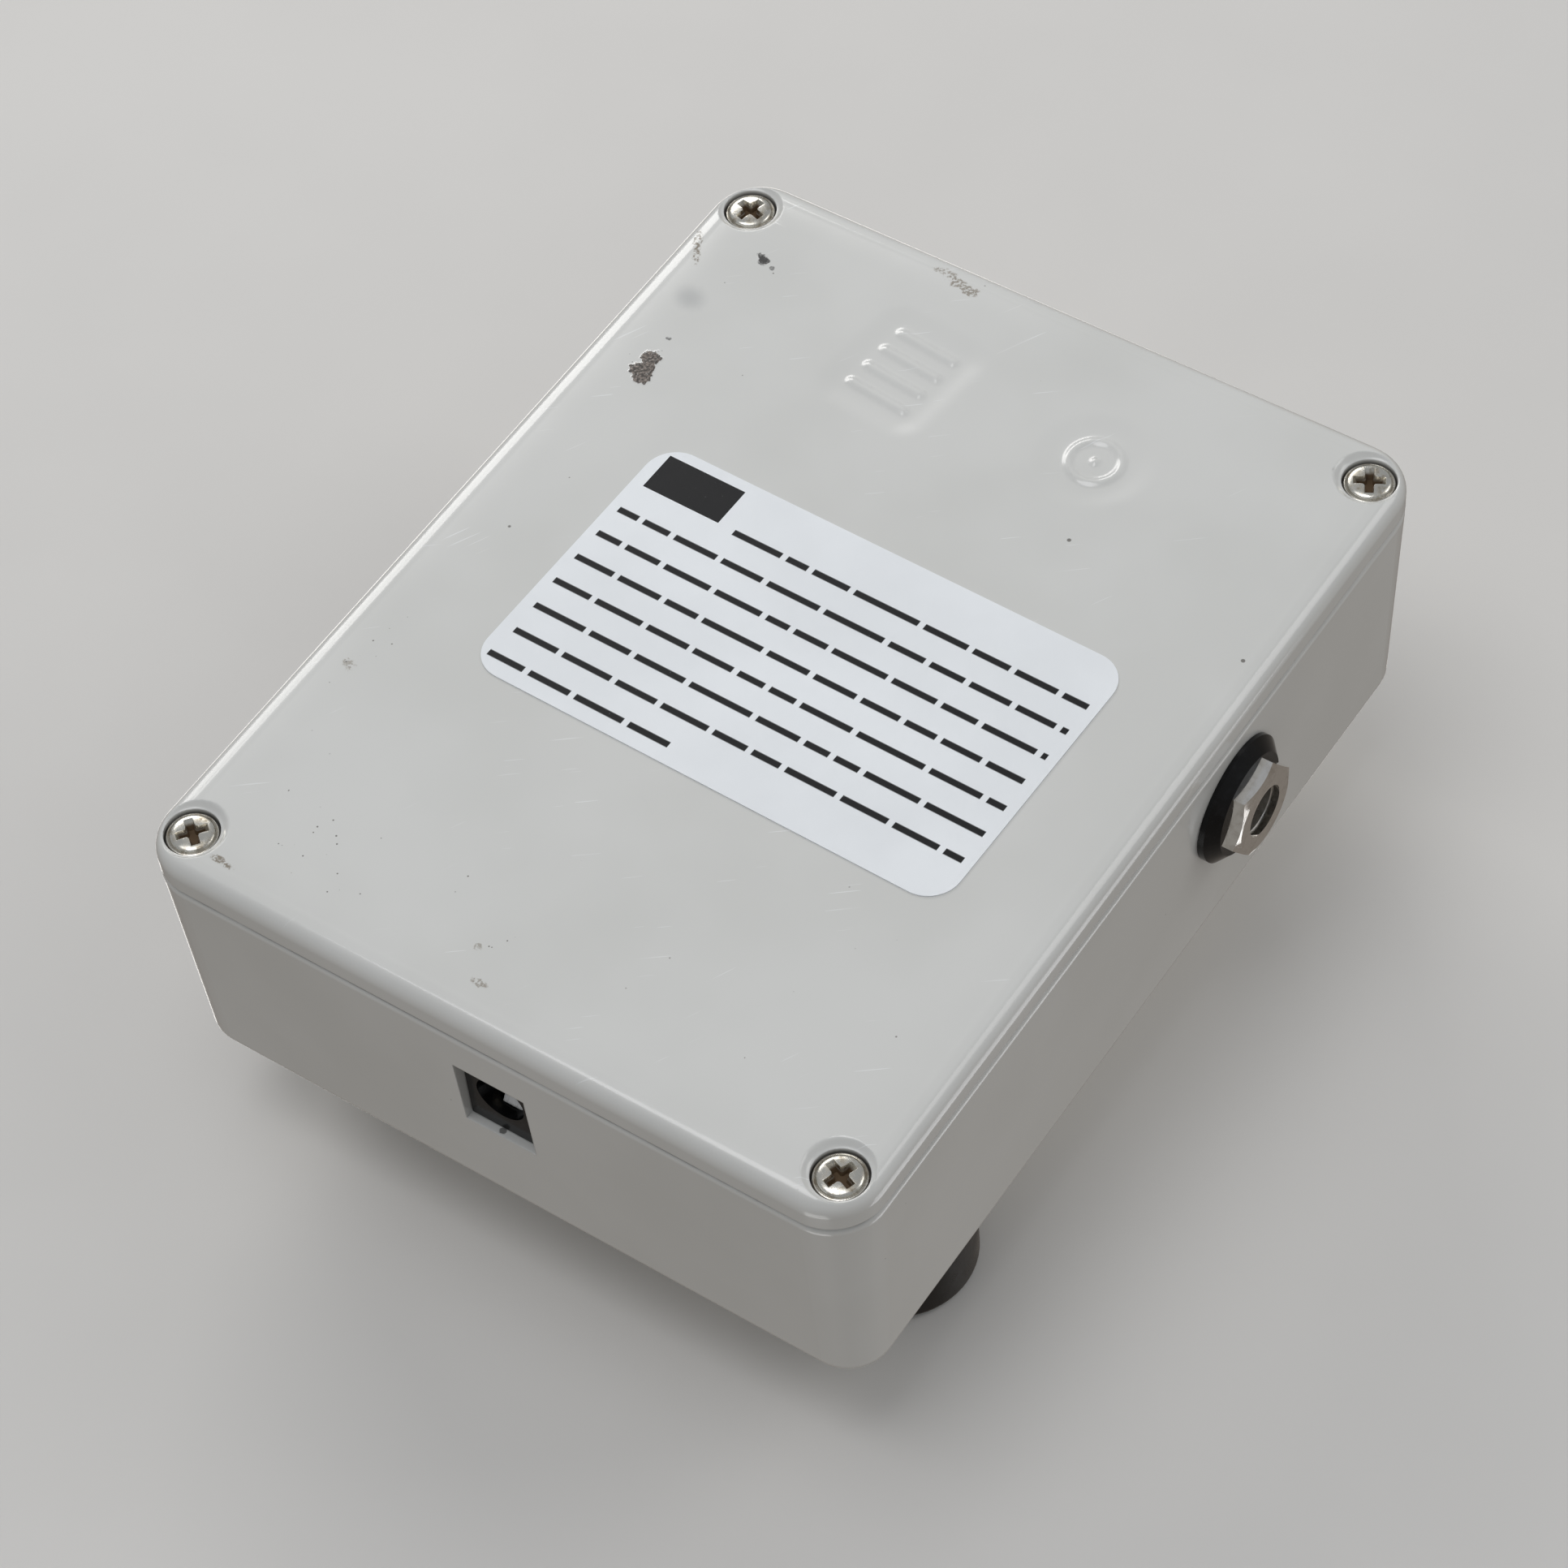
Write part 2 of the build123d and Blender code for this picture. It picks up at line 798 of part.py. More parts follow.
def pot_nut():
    low = box_height + pot_washer_thickness
    return hex_nut(pot_nut_flats, low, low + pot_nut_thickness, pot_bushing_radius + snug_clearance)


# Toggle switches, built about the bushing's axis


def toggle_body():
    half_x = toggle_body_width / 2
    half_y = toggle_body_length / 2
    body = block(-half_x, half_x, -half_y, half_y, board_top, under_panel)
    body += post(toggle_bushing_radius, under_panel, toggle_top)
    collar_low = toggle_pivot - toggle_collar_half
    collar_high = toggle_pivot + toggle_collar_half
    tail = toggle_ball_radius + toggle_tail_room
    neck = toggle_ball_radius + running_clearance
    mouth = neck + toggle_mouth_room
    bottom = toggle_pivot - toggle_tail_length - 2 * toggle_tail_room
    body -= turned(
        [(0, bottom), (tail, bottom), (tail, collar_low), (neck, collar_low), (neck, collar_high),
         (mouth, toggle_top), (mouth, toggle_top + 1), (0, toggle_top + 1)]
    )
    for i in (-1, 0, 1):
        half = pot_pin_width / 2
        y = i * toggle_pin_pitch
        body += block(-half, half, y - half, y + half, board_bottom - 1, board_top)
    return body


def toggle_lever():
    """The bat lever, its ball at Z = 0, which leans forwards at rest."""
    tip = toggle_lever_length - toggle_lever_tip_radius
    lever = Sphere(toggle_ball_radius)
    lever += Pos(0, 0, tip / 2) * Cone(toggle_lever_root_radius, toggle_lever_tip_radius, tip)
    lever += Pos(0, 0, tip) * Sphere(toggle_lever_tip_radius)
    lever += post(toggle_tail_radius, -toggle_tail_length, 0)
    return Pos(0, 0, toggle_pivot) * Rot(toggle_throw / 2, 0, 0) * lever


def toggle_washer():
    hole = toggle_bushing_radius + running_clearance
    return ring_washer(toggle_washer_radius, hole, box_height, box_height + toggle_washer_thickness)


def toggle_nut():
    low = box_height + toggle_washer_thickness
    bore = toggle_bushing_radius + snug_clearance
    return hex_nut(toggle_nut_flats, low, low + toggle_nut_thickness, bore, toggle_nut_turn)


def at_toggles(solid):
    return group([Pos(x, toggle_y, 0) * solid for x in toggle_columns])


# Indicator lamp


def led_bezel():
    hole = led_radius + hole_clearance
    high = box_height + led_bezel_height
    return turned(
        [(hole, under_panel), (led_barrel_radius, under_panel), (led_barrel_radius, box_height),
         (led_bezel_radius, box_height), (led_bezel_radius, box_height + led_flange_edge),
         (led_radius + led_mouth_rim, high), (hole, high)]
    )


def led_lamp():
    dome = box_height + led_height - led_radius
    lamp = post(led_radius, under_panel - led_base_depth, dome) + Pos(0, 0, dome) * Sphere(led_radius)
    half = led_leg_width / 2
    for way in (-1, 1):
        x = way * led_leg_spacing / 2
        lamp += block(x - half, x + half, -half, half, board_bottom - 1, under_panel - led_base_depth)
    return lamp


# Footswitch, built about its own axis


def footswitch_body():
    half = footswitch_body_width / 2
    low = under_panel - footswitch_body_height
    top = box_height + footswitch_bushing_height
    body = block(-half, half, -half, half, low, under_panel)
    body = fillet(body.edges().filter_by(Axis.Z), footswitch_body_edge_radius)
    body += post(footswitch_bushing_radius, under_panel, top)
    body -= post(footswitch_button_radius + running_clearance, under_panel, top + 1)
    body -= post(footswitch_stem_radius + hole_clearance, low + footswitch_shell, under_panel + 1)
    room = half - footswitch_shell
    return body - block(-room, room, -room, room, low + footswitch_shell, under_panel - footswitch_shelf)


def footswitch_button():
    button = post(footswitch_button_radius, button_bottom, footswitch_button_top)
    button = fillet(button.edges().group_by(Axis.Z)[-1], footswitch_button_edge)
    return button + post(footswitch_stem_radius, button_bottom - footswitch_stem_length, button_bottom)


def footswitch_clip():
    high = under_panel - footswitch_shelf - footswitch_clip_gap
    hole = footswitch_stem_radius + snug_clearance
    return ring_washer(footswitch_clip_radius, hole, high - footswitch_clip_thickness, high)


def footswitch_spring():
    """The return spring, as closed rings one above the other."""
    low = under_panel + footswitch_wire_radius + running_clearance
    high = button_bottom - footswitch_wire_radius - running_clearance
    pitch = (high - low) / (footswitch_spring_turns - 1)
    ring = Torus(footswitch_spring_radius, footswitch_wire_radius)
    return group([Pos(0, 0, low + i * pitch) * ring for i in range(footswitch_spring_turns)])


def footswitch_washer():
    hole = footswitch_bushing_radius + running_clearance
    high = box_height + footswitch_washer_thickness
    disc = ring_washer(footswitch_washer_radius, hole, box_height, high)
    rim = disc.edges().group_by(Axis.Z)[-1].sort_by(SortBy.RADIUS)[-1]
    return fillet(rim, footswitch_washer_thickness * footswitch_washer_rounding)


def footswitch_nut():
    low = box_height + footswitch_washer_thickness
    high = low + footswitch_nut_thickness
    bore = footswitch_bushing_radius + snug_clearance
    return hex_nut(footswitch_nut_flats, low, high, bore, footswitch_nut_turn)


def footswitch_lug_places():
    half = footswitch_lug_spread / 2
    return [(-half, 0.0), (half, 0.0)]


def footswitch_lugs():
    high = under_panel - footswitch_body_height
    half_x = footswitch_lug_width / 2
    half_y = footswitch_lug_thickness / 2
    low = high - footswitch_lug_length
    places = footswitch_lug_places()
    return group([block(x - half_x, x + half_x, y - half_y, y + half_y, low, high) for x, y in places])


# Main board and what stands on it


def main_board():
    centre_y = (board_rear + board_front) / 2
    board = slab(board_width, board_rear - board_front, board_corner_radius, board_bottom, board_top)
    board = Pos(0, centre_y, 0) * board
    reach = outer_x(xlr_z) - xlr_depth - xlr_cup_length - notch_clearance
    half = xlr_shell_radius + notch_clearance
    board -= block(-box_width / 2, -reach, xlr_y - half, xlr_y + half, board_bottom - 1, board_top + 1)
    return board - board_holes()


def board_holes():
    radius = pot_pin_width / 2 * 2**0.5 + pin_hole_clearance
    low = board_bottom - 1
    high = board_top + 1
    holes = []
    for i in (-1, 0, 1):
        for x in knob_columns:
            pin_x = x + i * pot_pin_pitch
            holes.append(post(radius, low, high, pin_x, knob_row_y - pot_pin_offset))
        for x in toggle_columns:
            holes.append(post(radius, low, high, x, toggle_y + i * toggle_pin_pitch))
    for way in (-1, 1):
        holes.append(post(radius / 2 + pin_hole_clearance, low, high, way * led_leg_spacing / 2, led_y))
    return holes


def electrolytic_cans():
    places = [(-12.0, 40.0), (13.0, 40.0), (24.0, 43.0), (25.0, 2.0), (36.0, 8.0), (-8.0, -20.0)]
    cans = []
    for x, y in places:
        can = post(can_radius, board_bottom - can_height, board_bottom, x, y)
        cans.append(fillet(can.edges().group_by(Axis.Z)[0], can_edge_radius))
    return group(cans)


def film_capacitors():
    places = [(8.0, 30.0), (8.0, 25.0), (36.0, 24.0), (36.0, 19.0), (10.0, -24.0)]
    half_x = film_length / 2
    half_y = film_width / 2
    low = board_bottom - film_height
    boxes = []
    for x, y in places:
        box = block(x - half_x, x + half_x, y - half_y, y + half_y, low, board_bottom)
        boxes.append(fillet(box.edges().group_by(Axis.Z)[0], film_edge_radius))
    return group(boxes)


def amplifier_chips():
    places = [(19.0, 25.0), (22.0, 13.0), (9.0, -15.0)]
    return group([Pos(x, y, 0) * amplifier_chip() for x, y in places])


def amplifier_chip():
    high = board_bottom - chip_standoff
    half_x = chip_length / 2
    half_y = chip_width / 2
    chip = block(-half_x, half_x, -half_y, half_y, high - chip_height, high)
    middle = high - chip_height / 2
    half_pin = chip_pin_width / 2
    for i in range(chip_pins):
        x = (i - (chip_pins - 1) / 2) * chip_pin_pitch
        for way in (-1, 1):
            levels = sorted((way * half_y, way * (half_y + chip_pin_reach)))
            chip += block(x - half_pin, x + half_pin, levels[0], levels[1], middle, board_bottom)
    return chip


def resistors():
    places = [(x + resistor_pitch * i, y) for x, y in resistor_rows for i in range(resistors_in_row)]
    return group([Pos(x, y, 0) * resistor() for x, y in places])


def resistor():
    middle = board_bottom - resistor_standoff - resistor_radius
    half = resistor_length / 2
    body = Pos(0, 0, middle) * Rot(90, 0, 0) * Cylinder(resistor_radius, resistor_length)
    for way in (-1, 1):
        y = way * (half + resistor_lead_reach)
        levels = sorted((way * (half - resistor_lead_grip), y))
        wire = post(resistor_lead_radius, levels[0], levels[1])
        body += Pos(0, 0, middle) * Rot(-90, 0, 0) * wire
        body += post(resistor_lead_radius, middle - resistor_lead_radius, board_bottom, 0, y)
    return body


# Leads


def lead(points):
    path = FilletPolyline(*points, radius=lead_bend_radius)
    start = Vector(*points[0])
    ahead = Vector(*points[1]) - start
    return sweep(Plane(origin=start, z_dir=ahead) * Circle(lead_radius), path=path)


def output_leads():
    """Three leads from the output connector's solder cups, down and up to the board."""
    frame = xlr_frame()
    leads = []
    for x, y in xlr_pin_places():
        cup = (frame * Pos(x, y, -xlr_depth - xlr_cup_length)).position
        ahead = (frame * Pos(x, y, -xlr_depth - xlr_cup_length - output_lead_start)).position
        spread = xlr_y + (cup.Y - xlr_y) * output_lead_spread
        low = board_bottom - output_lead_drop
        down = (ahead.X + output_lead_reach, spread, low)
        far = ahead.X + 2 * output_lead_reach
        end = (far, spread, board_bottom)
        leads.append(lead([tuple(cup), tuple(ahead), down, (far, spread, low), end]))
    return group(leads)


def footswitch_leads():
    low = under_panel - footswitch_body_height - footswitch_lug_length
    leads = []
    for x, y in footswitch_lug_places():
        start = (x, footswitch_y + y, low)
        bottom = low - footswitch_lead_drop
        end_y = board_front + footswitch_lead_margin
        corner = (x, footswitch_y + y, bottom)
        leads.append(lead([start, corner, (x, end_y, bottom), (x, end_y, board_bottom)]))
    return group(leads)


def jack_parts(name, side, y):
    frame = side_frame(side, y, jack_z)
    pieces = {
        "housing": jack_housing(),
        "sleeve": jack_sleeve(),
        "springs": jack_springs(),
        "washer": jack_washer(),
        "nut": jack_nut(),
    }
    parts = {f"{name}_{piece}": frame * solid for piece, solid in pieces.items()}
    # the washer's back follows the drafted wall
    parts[f"{name}_washer"] -= outer_hull()
    return parts


def knob_parts():
    parts = {}
    for name, x in zip(knob_names, knob_columns):
        place = Pos(x, knob_row_y, 0)
        parts[f"{name}_pot"] = place * pot_body()
        parts[f"{name}_shaft"] = place * pot_shaft()
        parts[f"{name}_knob"] = place * knob()
        parts[f"{name}_pointer"] = place * pointer()
    return parts


def toggle_parts():
    parts = {}
    for name, x in zip(toggle_names, toggle_columns):
        place = Pos(x, toggle_y, 0)
        parts[f"{name}_switch"] = place * toggle_body()
        parts[f"{name}_lever"] = place * toggle_lever()
    return parts


def footswitch_parts():
    place = Pos(0, footswitch_y, 0)
    pieces = {
        "body": footswitch_body(),
        "button": footswitch_button(),
        "clip": footswitch_clip(),
        "spring": footswitch_spring(),
        "washer": footswitch_washer(),
        "nut": footswitch_nut(),
        "lugs": footswitch_lugs(),
    }
    return {f"footswitch_{piece}": place * solid for piece, solid in pieces.items()}


def all_parts():
    parts = {
        "enclosure_body": enclosure_body(),
        "base_cover": base_cover(),
        "cover_screws": cover_screws(),
        "base_label": base_label(),
        "power_jack_body": power_frame() * power_jack_body(),
        "power_jack_pin": power_frame() * power_jack_pin(),
        "power_jack_leaf": power_frame() * power_jack_leaf(),
        "output_shell": xlr_frame() * xlr_shell(),
        "output_insert": xlr_frame() * xlr_insert(),
        "output_pins": xlr_frame() * xlr_pins(),
        "output_screws": xlr_frame() * xlr_screws(),
        "output_leads": output_leads(),
        "pot_wafers": at_knobs(pot_wafer()),
        "pot_washers": at_knobs(pot_washer()),
        "pot_nuts": at_knobs(pot_nut()),
        "toggle_washers": at_toggles(toggle_washer()),
        "toggle_nuts": at_toggles(toggle_nut()),
        "lamp_bezel": Pos(0, led_y, 0) * led_bezel(),
        "lamp": Pos(0, led_y, 0) * led_lamp(),
        "main_board": main_board(),
        "electrolytic_cans": electrolytic_cans(),
        "film_capacitors": film_capacitors(),
        "amplifier_chips": amplifier_chips(),
        "resistors": resistors(),
        "footswitch_leads": footswitch_leads(),
    }
    for name, (side, y) in zip(jack_names, jack_sides):
        parts.update(jack_parts(name, side, y))
    parts.update(knob_parts())
    parts.update(toggle_parts())
    parts.update(footswitch_parts())
    return parts


os.makedirs("parts", exist_ok=True)
for node, solid in all_parts().items():
    export_step(solid, f"parts/{node}.step")
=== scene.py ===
from math import cos, pi, radians, sin

import bpy
import mathutils
from mathutils import Matrix, Vector


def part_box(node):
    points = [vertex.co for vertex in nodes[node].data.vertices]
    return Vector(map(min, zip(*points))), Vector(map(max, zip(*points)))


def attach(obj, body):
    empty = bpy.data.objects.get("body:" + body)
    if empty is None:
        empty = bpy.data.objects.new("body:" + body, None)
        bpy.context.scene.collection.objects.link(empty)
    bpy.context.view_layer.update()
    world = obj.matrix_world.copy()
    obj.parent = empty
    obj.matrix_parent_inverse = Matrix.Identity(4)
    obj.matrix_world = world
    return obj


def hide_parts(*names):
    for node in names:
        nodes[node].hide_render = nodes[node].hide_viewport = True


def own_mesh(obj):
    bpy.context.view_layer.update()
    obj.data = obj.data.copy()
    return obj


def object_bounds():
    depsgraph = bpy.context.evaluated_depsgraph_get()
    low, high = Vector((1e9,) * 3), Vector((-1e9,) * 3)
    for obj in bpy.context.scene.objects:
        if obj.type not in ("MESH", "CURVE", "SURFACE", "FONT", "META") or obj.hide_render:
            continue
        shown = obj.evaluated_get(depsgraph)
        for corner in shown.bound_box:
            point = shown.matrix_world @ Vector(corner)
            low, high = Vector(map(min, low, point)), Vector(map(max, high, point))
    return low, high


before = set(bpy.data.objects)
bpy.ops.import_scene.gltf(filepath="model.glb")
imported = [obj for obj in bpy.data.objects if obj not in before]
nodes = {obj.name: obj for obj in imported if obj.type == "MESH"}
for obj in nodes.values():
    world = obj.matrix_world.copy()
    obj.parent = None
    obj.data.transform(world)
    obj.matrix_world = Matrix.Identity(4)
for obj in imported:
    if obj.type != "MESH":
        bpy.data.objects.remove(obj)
cadBox = [list(corner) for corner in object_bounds()]
mm = 0.001
print("frame loaded:", len(nodes), "CAD nodes")


# Small helpers for node materials
def newMaterial(name, **shader):
    material = bpy.data.materials.new(name)
    material.use_nodes = True
    principled = material.node_tree.nodes["Principled BSDF"]
    for socket, value in shader.items():
        setSocket(material, principled.inputs[socketNames.get(socket, socket)], value)
    return material


socketNames = {
    "colour": "Base Color",
    "roughness": "Roughness",
    "metallic": "Metallic",
    "coat": "Coat Weight",
    "coatRoughness": "Coat Roughness",
    "specular": "Specular IOR Level",
    "transmission": "Transmission Weight",
    "ior": "IOR",
    "normal": "Normal",
}


def setSocket(material, socket, value):
    if isinstance(value, bpy.types.NodeSocket):
        material.node_tree.links.new(value, socket)
    elif isinstance(value, tuple) and len(value) == 3 and socket.type == "RGBA":
        socket.default_value = (*value, 1.0)
    else:
        socket.default_value = value


def shade(material, **shader):
    principled = material.node_tree.nodes["Principled BSDF"]
    for socket, value in shader.items():
        setSocket(material, principled.inputs[socketNames.get(socket, socket)], value)


def addNode(material, kind, sockets=None, **settings):
    item = material.node_tree.nodes.new("ShaderNode" + kind)
    for name, value in settings.items():
        setattr(item, name, value)
    for name, value in (sockets or {}).items():
        setSocket(material, item.inputs[name], value)
    return item


# object coordinates in millimetres, moved, then turned about Z, then stretched
def millimetres(material, move=(0, 0, 0), turn=0.0, stretch=(1, 1, 1)):
    place = addNode(material, "TexCoord").outputs["Object"]
    scaled = addNode(material, "Mapping", {"Vector": place, "Scale": (1000, 1000, 1000)}).outputs[0]
    moved = addNode(material, "Mapping", {"Vector": scaled, "Location": tuple(-m for m in move)}).outputs[0]
    turned = addNode(material, "Mapping", {"Vector": moved, "Rotation": (0, 0, -radians(turn))}).outputs[0]
    return addNode(material, "Mapping", {"Vector": turned, "Scale": stretch}).outputs[0]


def calc(material, operation, a, b=0.0, c=0.0, clamp=False):
    item = addNode(material, "Math", operation=operation, use_clamp=clamp)
    for socket, value in zip(item.inputs, (a, b, c)):
        setSocket(material, socket, value)
    return item.outputs[0]


def parts(material, vector):
    split = addNode(material, "SeparateXYZ", {"Vector": vector})
    return split.outputs[0], split.outputs[1], split.outputs[2]


def noise(material, vector, scale, detail=2.0, roughness=0.5, distortion=0.0):
    sockets = {"Vector": vector, "Scale": scale, "Detail": detail, "Roughness": roughness,
               "Distortion": distortion}
    return addNode(material, "TexNoise", sockets).outputs[0]


# a value carried from low..high to rise..fall, held at both ends
def band(material, value, low, high, rise=0.0, fall=1.0):
    sockets = {"Value": value, "From Min": low, "From Max": high, "To Min": rise, "To Max": fall}
    return addNode(material, "MapRange", sockets, interpolation_type="SMOOTHSTEP").outputs[0]


def mixColour(material, amount, first, second):
    item = addNode(material, "Mix", data_type="RGBA")
    for socket, value in ((item.inputs[0], amount), (item.inputs[6], first), (item.inputs[7], second)):
        setSocket(material, socket, value)
    return item.outputs[2]


def relief(material, height, depth, strength=1.0, normal=None):
    sockets = {"Height": height, "Distance": depth * mm, "Strength": strength}
    if normal is not None:
        sockets["Normal"] = normal
    return addNode(material, "Bump", sockets).outputs[0]


def brighten(material, value, low, high):
    return band(material, value, 0.3, 0.7, low, high)


# gives CAD nodes a material
def dress(material, *names):
    for name in names:
        for slot in nodes[name].material_slots:
            slot.material = material


# Camera

camera = {
    "place": (0.2048, 0.25796, -0.40265),
    "forward": (-0.38327, -0.47547, 0.79186),
    "up": (-0.40824, -0.68183, -0.607),
    "lens": 107.55,
}


def makeCamera():
    data = bpy.data.cameras.new("camera")
    data.lens = camera["lens"]
    data.sensor_width = 36.0
    data.clip_start = 0.01
    data.clip_end = 60.0
    item = bpy.data.objects.new("camera", data)
    bpy.context.collection.objects.link(item)
    back = -Vector(camera["forward"]).normalized()
    right = Vector(camera["up"]).cross(back).normalized()
    up = back.cross(right)
    turn = Matrix((right, up, back)).transposed().to_4x4()
    item.matrix_world = Matrix.Translation(camera["place"]) @ turn
    bpy.context.scene.camera = item


makeCamera()
print("camera made")


# Light and floor. The box is seen lying on its controls, and in the other views standing on its cover,
# so it has a floor and lights on both sides. Each floor is seen from its own side only.

lighting = {
    "worldHigh": (0.86, 0.89, 0.93),
    "worldLow": (0.50, 0.45, 0.40),
    "worldStrength": 0.42,
    "backdrop": (0.78, 0.77, 0.75),
    "lamps": [
        ("softBehind", (-0.62, -0.50, -0.42), 0.55, 0.30, 2.3, (1.0, 0.985, 0.96)),
        ("softOverhead", (-0.10, 0.16, -0.85), 0.50, 0.50, 2.35, (0.985, 0.985, 1.0)),
        ("softRight", (0.55, -0.55, -0.55), 0.45, 0.45, 1.25, (1.0, 0.985, 0.97)),
        ("standingKey", (-0.55, -0.55, 0.70), 0.70, 0.70, 2.2, (1.0, 0.98, 0.95)),
        ("standingFill", (0.65, -0.25, 0.50), 0.45, 0.45, 1.0, (0.95, 0.97, 1.0)),
        ("standingBack", (0.10, 0.75, 0.60), 0.45, 0.45, 1.0, (1.0, 1.0, 1.0)),
    ],
    # this lamp is for the cover only: it stands under the floor when the box stands on its cover
    "coverOnly": "softBehind",
}


def makeLights():
    for name, place, width, height, power, colour in lighting["lamps"]:
        data = bpy.data.lights.new(name, "AREA")
        data.shape = "RECTANGLE"
        data.size, data.size_y = width, height
        data.energy = power
        data.color = colour
        item = bpy.data.objects.new(name, data)
        item.location = place
        item.rotation_mode = "QUATERNION"
        item.rotation_quaternion = (-Vector(place)).to_track_quat("-Z", "Y")
        bpy.context.collection.objects.link(item)
        if name == lighting["coverOnly"]:
            spared = bpy.data.collections.new(name + "Spares")
            spared.objects.link(nodes["enclosure_body"])
            spared.collection_objects[0].light_linking.link_state = "EXCLUDE"
            item.light_linking.receiver_collection = spared


def makeWorld():
    world = bpy.data.worlds.new("studio")
    world.use_nodes = True
    bpy.context.scene.world = world
    tree = world.node_tree
    background = tree.nodes["Background"]
    place = tree.nodes.new("ShaderNodeTexCoord")
    split = tree.nodes.new("ShaderNodeSeparateXYZ")
    ramp = tree.nodes.new("ShaderNodeValToRGB")
    level = tree.nodes.new("ShaderNodeMapRange")
    tree.links.new(place.outputs["Generated"], split.inputs[0])
    tree.links.new(split.outputs[2], level.inputs["Value"])
    level.inputs["From Min"].default_value = -1.0
    level.inputs["From Max"].default_value = 1.0
    tree.links.new(level.outputs[0], ramp.inputs[0])
    ramp.color_ramp.elements[0].color = (*lighting["worldHigh"], 1)
    ramp.color_ramp.elements[0].position = 0.35
    ramp.color_ramp.elements[1].color = (*lighting["worldLow"], 1)
    ramp.color_ramp.elements[1].position = 0.60
    rays = tree.nodes.new("ShaderNodeLightPath")
    mix = tree.nodes.new("ShaderNodeMix")
    mix.data_type = "RGBA"
    tree.links.new(rays.outputs["Is Camera Ray"], mix.inputs[0])
    tree.links.new(ramp.outputs[0], mix.inputs[6])
    mix.inputs[7].default_value = (*lighting["backdrop"], 1)
    tree.links.new(mix.outputs[2], background.inputs["Color"])
    background.inputs["Strength"].default_value = lighting["worldStrength"]


floors = {
    "colour": (0.70, 0.685, 0.66),
    "half": 3.0,
}


# a pale floor that is seen only from the side it faces
def makeFloor(name, height, facing):
    bpy.ops.object.select_all(action="DESELECT")
    bpy.ops.mesh.primitive_plane_add(size=2 * floors["half"], location=(0, 0, height))
    item = bpy.context.object
    item.name = name
    if facing < 0:
        item.data.flip_normals()
    bpy.ops.object.transform_apply(location=True, rotation=True, scale=True)
    for ray in ("diffuse", "glossy", "transmission", "volume_scatter", "shadow"):
        setattr(item, "visible_" + ray, False)
    material = newMaterial(name, colour=floors["colour"], roughness=0.6, specular=0.2)
    grain = noise(material, millimetres(material), 0.02, 3.0)
    shade(material, colour=mixColour(material, brighten(material, grain, 0.0, 1.0), floors["colour"],
                                     tuple(0.97 * c for c in floors["colour"])))
    side = addNode(material, "NewGeometry").outputs["Backfacing"]
    clear = addNode(material, "BsdfTransparent").outputs[0]
    solid = material.node_tree.nodes["Principled BSDF"].outputs[0]
    both = addNode(material, "MixShader", {0: side, 1: solid, 2: clear})
    output = material.node_tree.nodes["Material Output"]
    material.node_tree.links.new(both.outputs[0], output.inputs["Surface"])
    item.data.materials.append(material)


makeWorld()
makeLights()
makeFloor("floorUnderControls", cadBox[1][2], -1)
makeFloor("floorUnderCover", cadBox[0][2], 1)
bpy.context.scene.view_settings.view_transform = "Standard"
print("light and floors made")


# Enamel on the die-cast body and cover

enamel = {
    "colour": (0.675, 0.675, 0.652),
    "shadeColour": (0.64, 0.64, 0.615),
    # dark colour for specks of grime, and for the painted shade in the joint and the screw wells
    "grimeAndShade": (0.055, 0.042, 0.028),
    "dirt": (0.16, 0.12, 0.07),
    "chip": (0.045, 0.043, 0.04),
    "screwPlace": (42.45, 54.45),
    "seam": 4.75,
    # place on the cover, long and short half size, turn, strength
    "chips": [
        ((-36.1, -47.8), 0.9, 0.6, 20, 1.0),
        ((-34.4, -47.2), 0.35, 0.3, 0, 0.7),
        ((-38.6, -31.6), 0.35, 0.3, 0, 0.8),
    ],
    "stains": [
        ((-44.3, -46.1), 2.8, 0.5, 60, 0.9),
        ((-13.5, -56.3), 2.6, 0.8, 12, 0.8),
        ((-16.2, -57.2), 1.4, 0.5, 0, 0.7),
        ((-41.3, 27.3), 1.0, 0.6, 40, 0.6),
        ((-37.1, 56.3), 1.8, 0.5, 0, 0.9),
        ((-3.2, 54.6), 0.9, 0.5, 0, 0.7),
        ((-6.0, 51.0), 0.5, 0.4, 0, 0.6),
    ],
    "smudges": [((-40.1, -38.3), 2.3, 1.9, 20, 0.6)],
    # where small specks lie thick
    "specked": [
        ((-40.5, 24.0), 3.6, 9.0, 20, 0.34),
        ((-27.0, 49.0), 9.0, 5.5, 10, 0.26),
        ((-3.0, 50.0), 5.0, 4.0, 0, 0.22),
        ((-38.0, -27.0), 4.0, 4.0, 0, 0.30),
        ((-35.0, -47.0), 3.5, 2.5, 0, 0.25),
    ],
    "scuff": (-0.4, 58.4, 21.6),
    "print": (0.03, 0.03, 0.032),
    "ticks": {"knobStep": 33.4, "knobRow": 34.4, "inner": 11.0, "outer": 12.6, "halfWidth": 0.22,
              "every": 30, "top": 35.3},
}


# distance from a place, in millimetres
def lengthTo(material, place):
    return addNode(material, "VectorMath", {0: millimetres(material, place)},
                   operation="LENGTH").outputs["Value"]


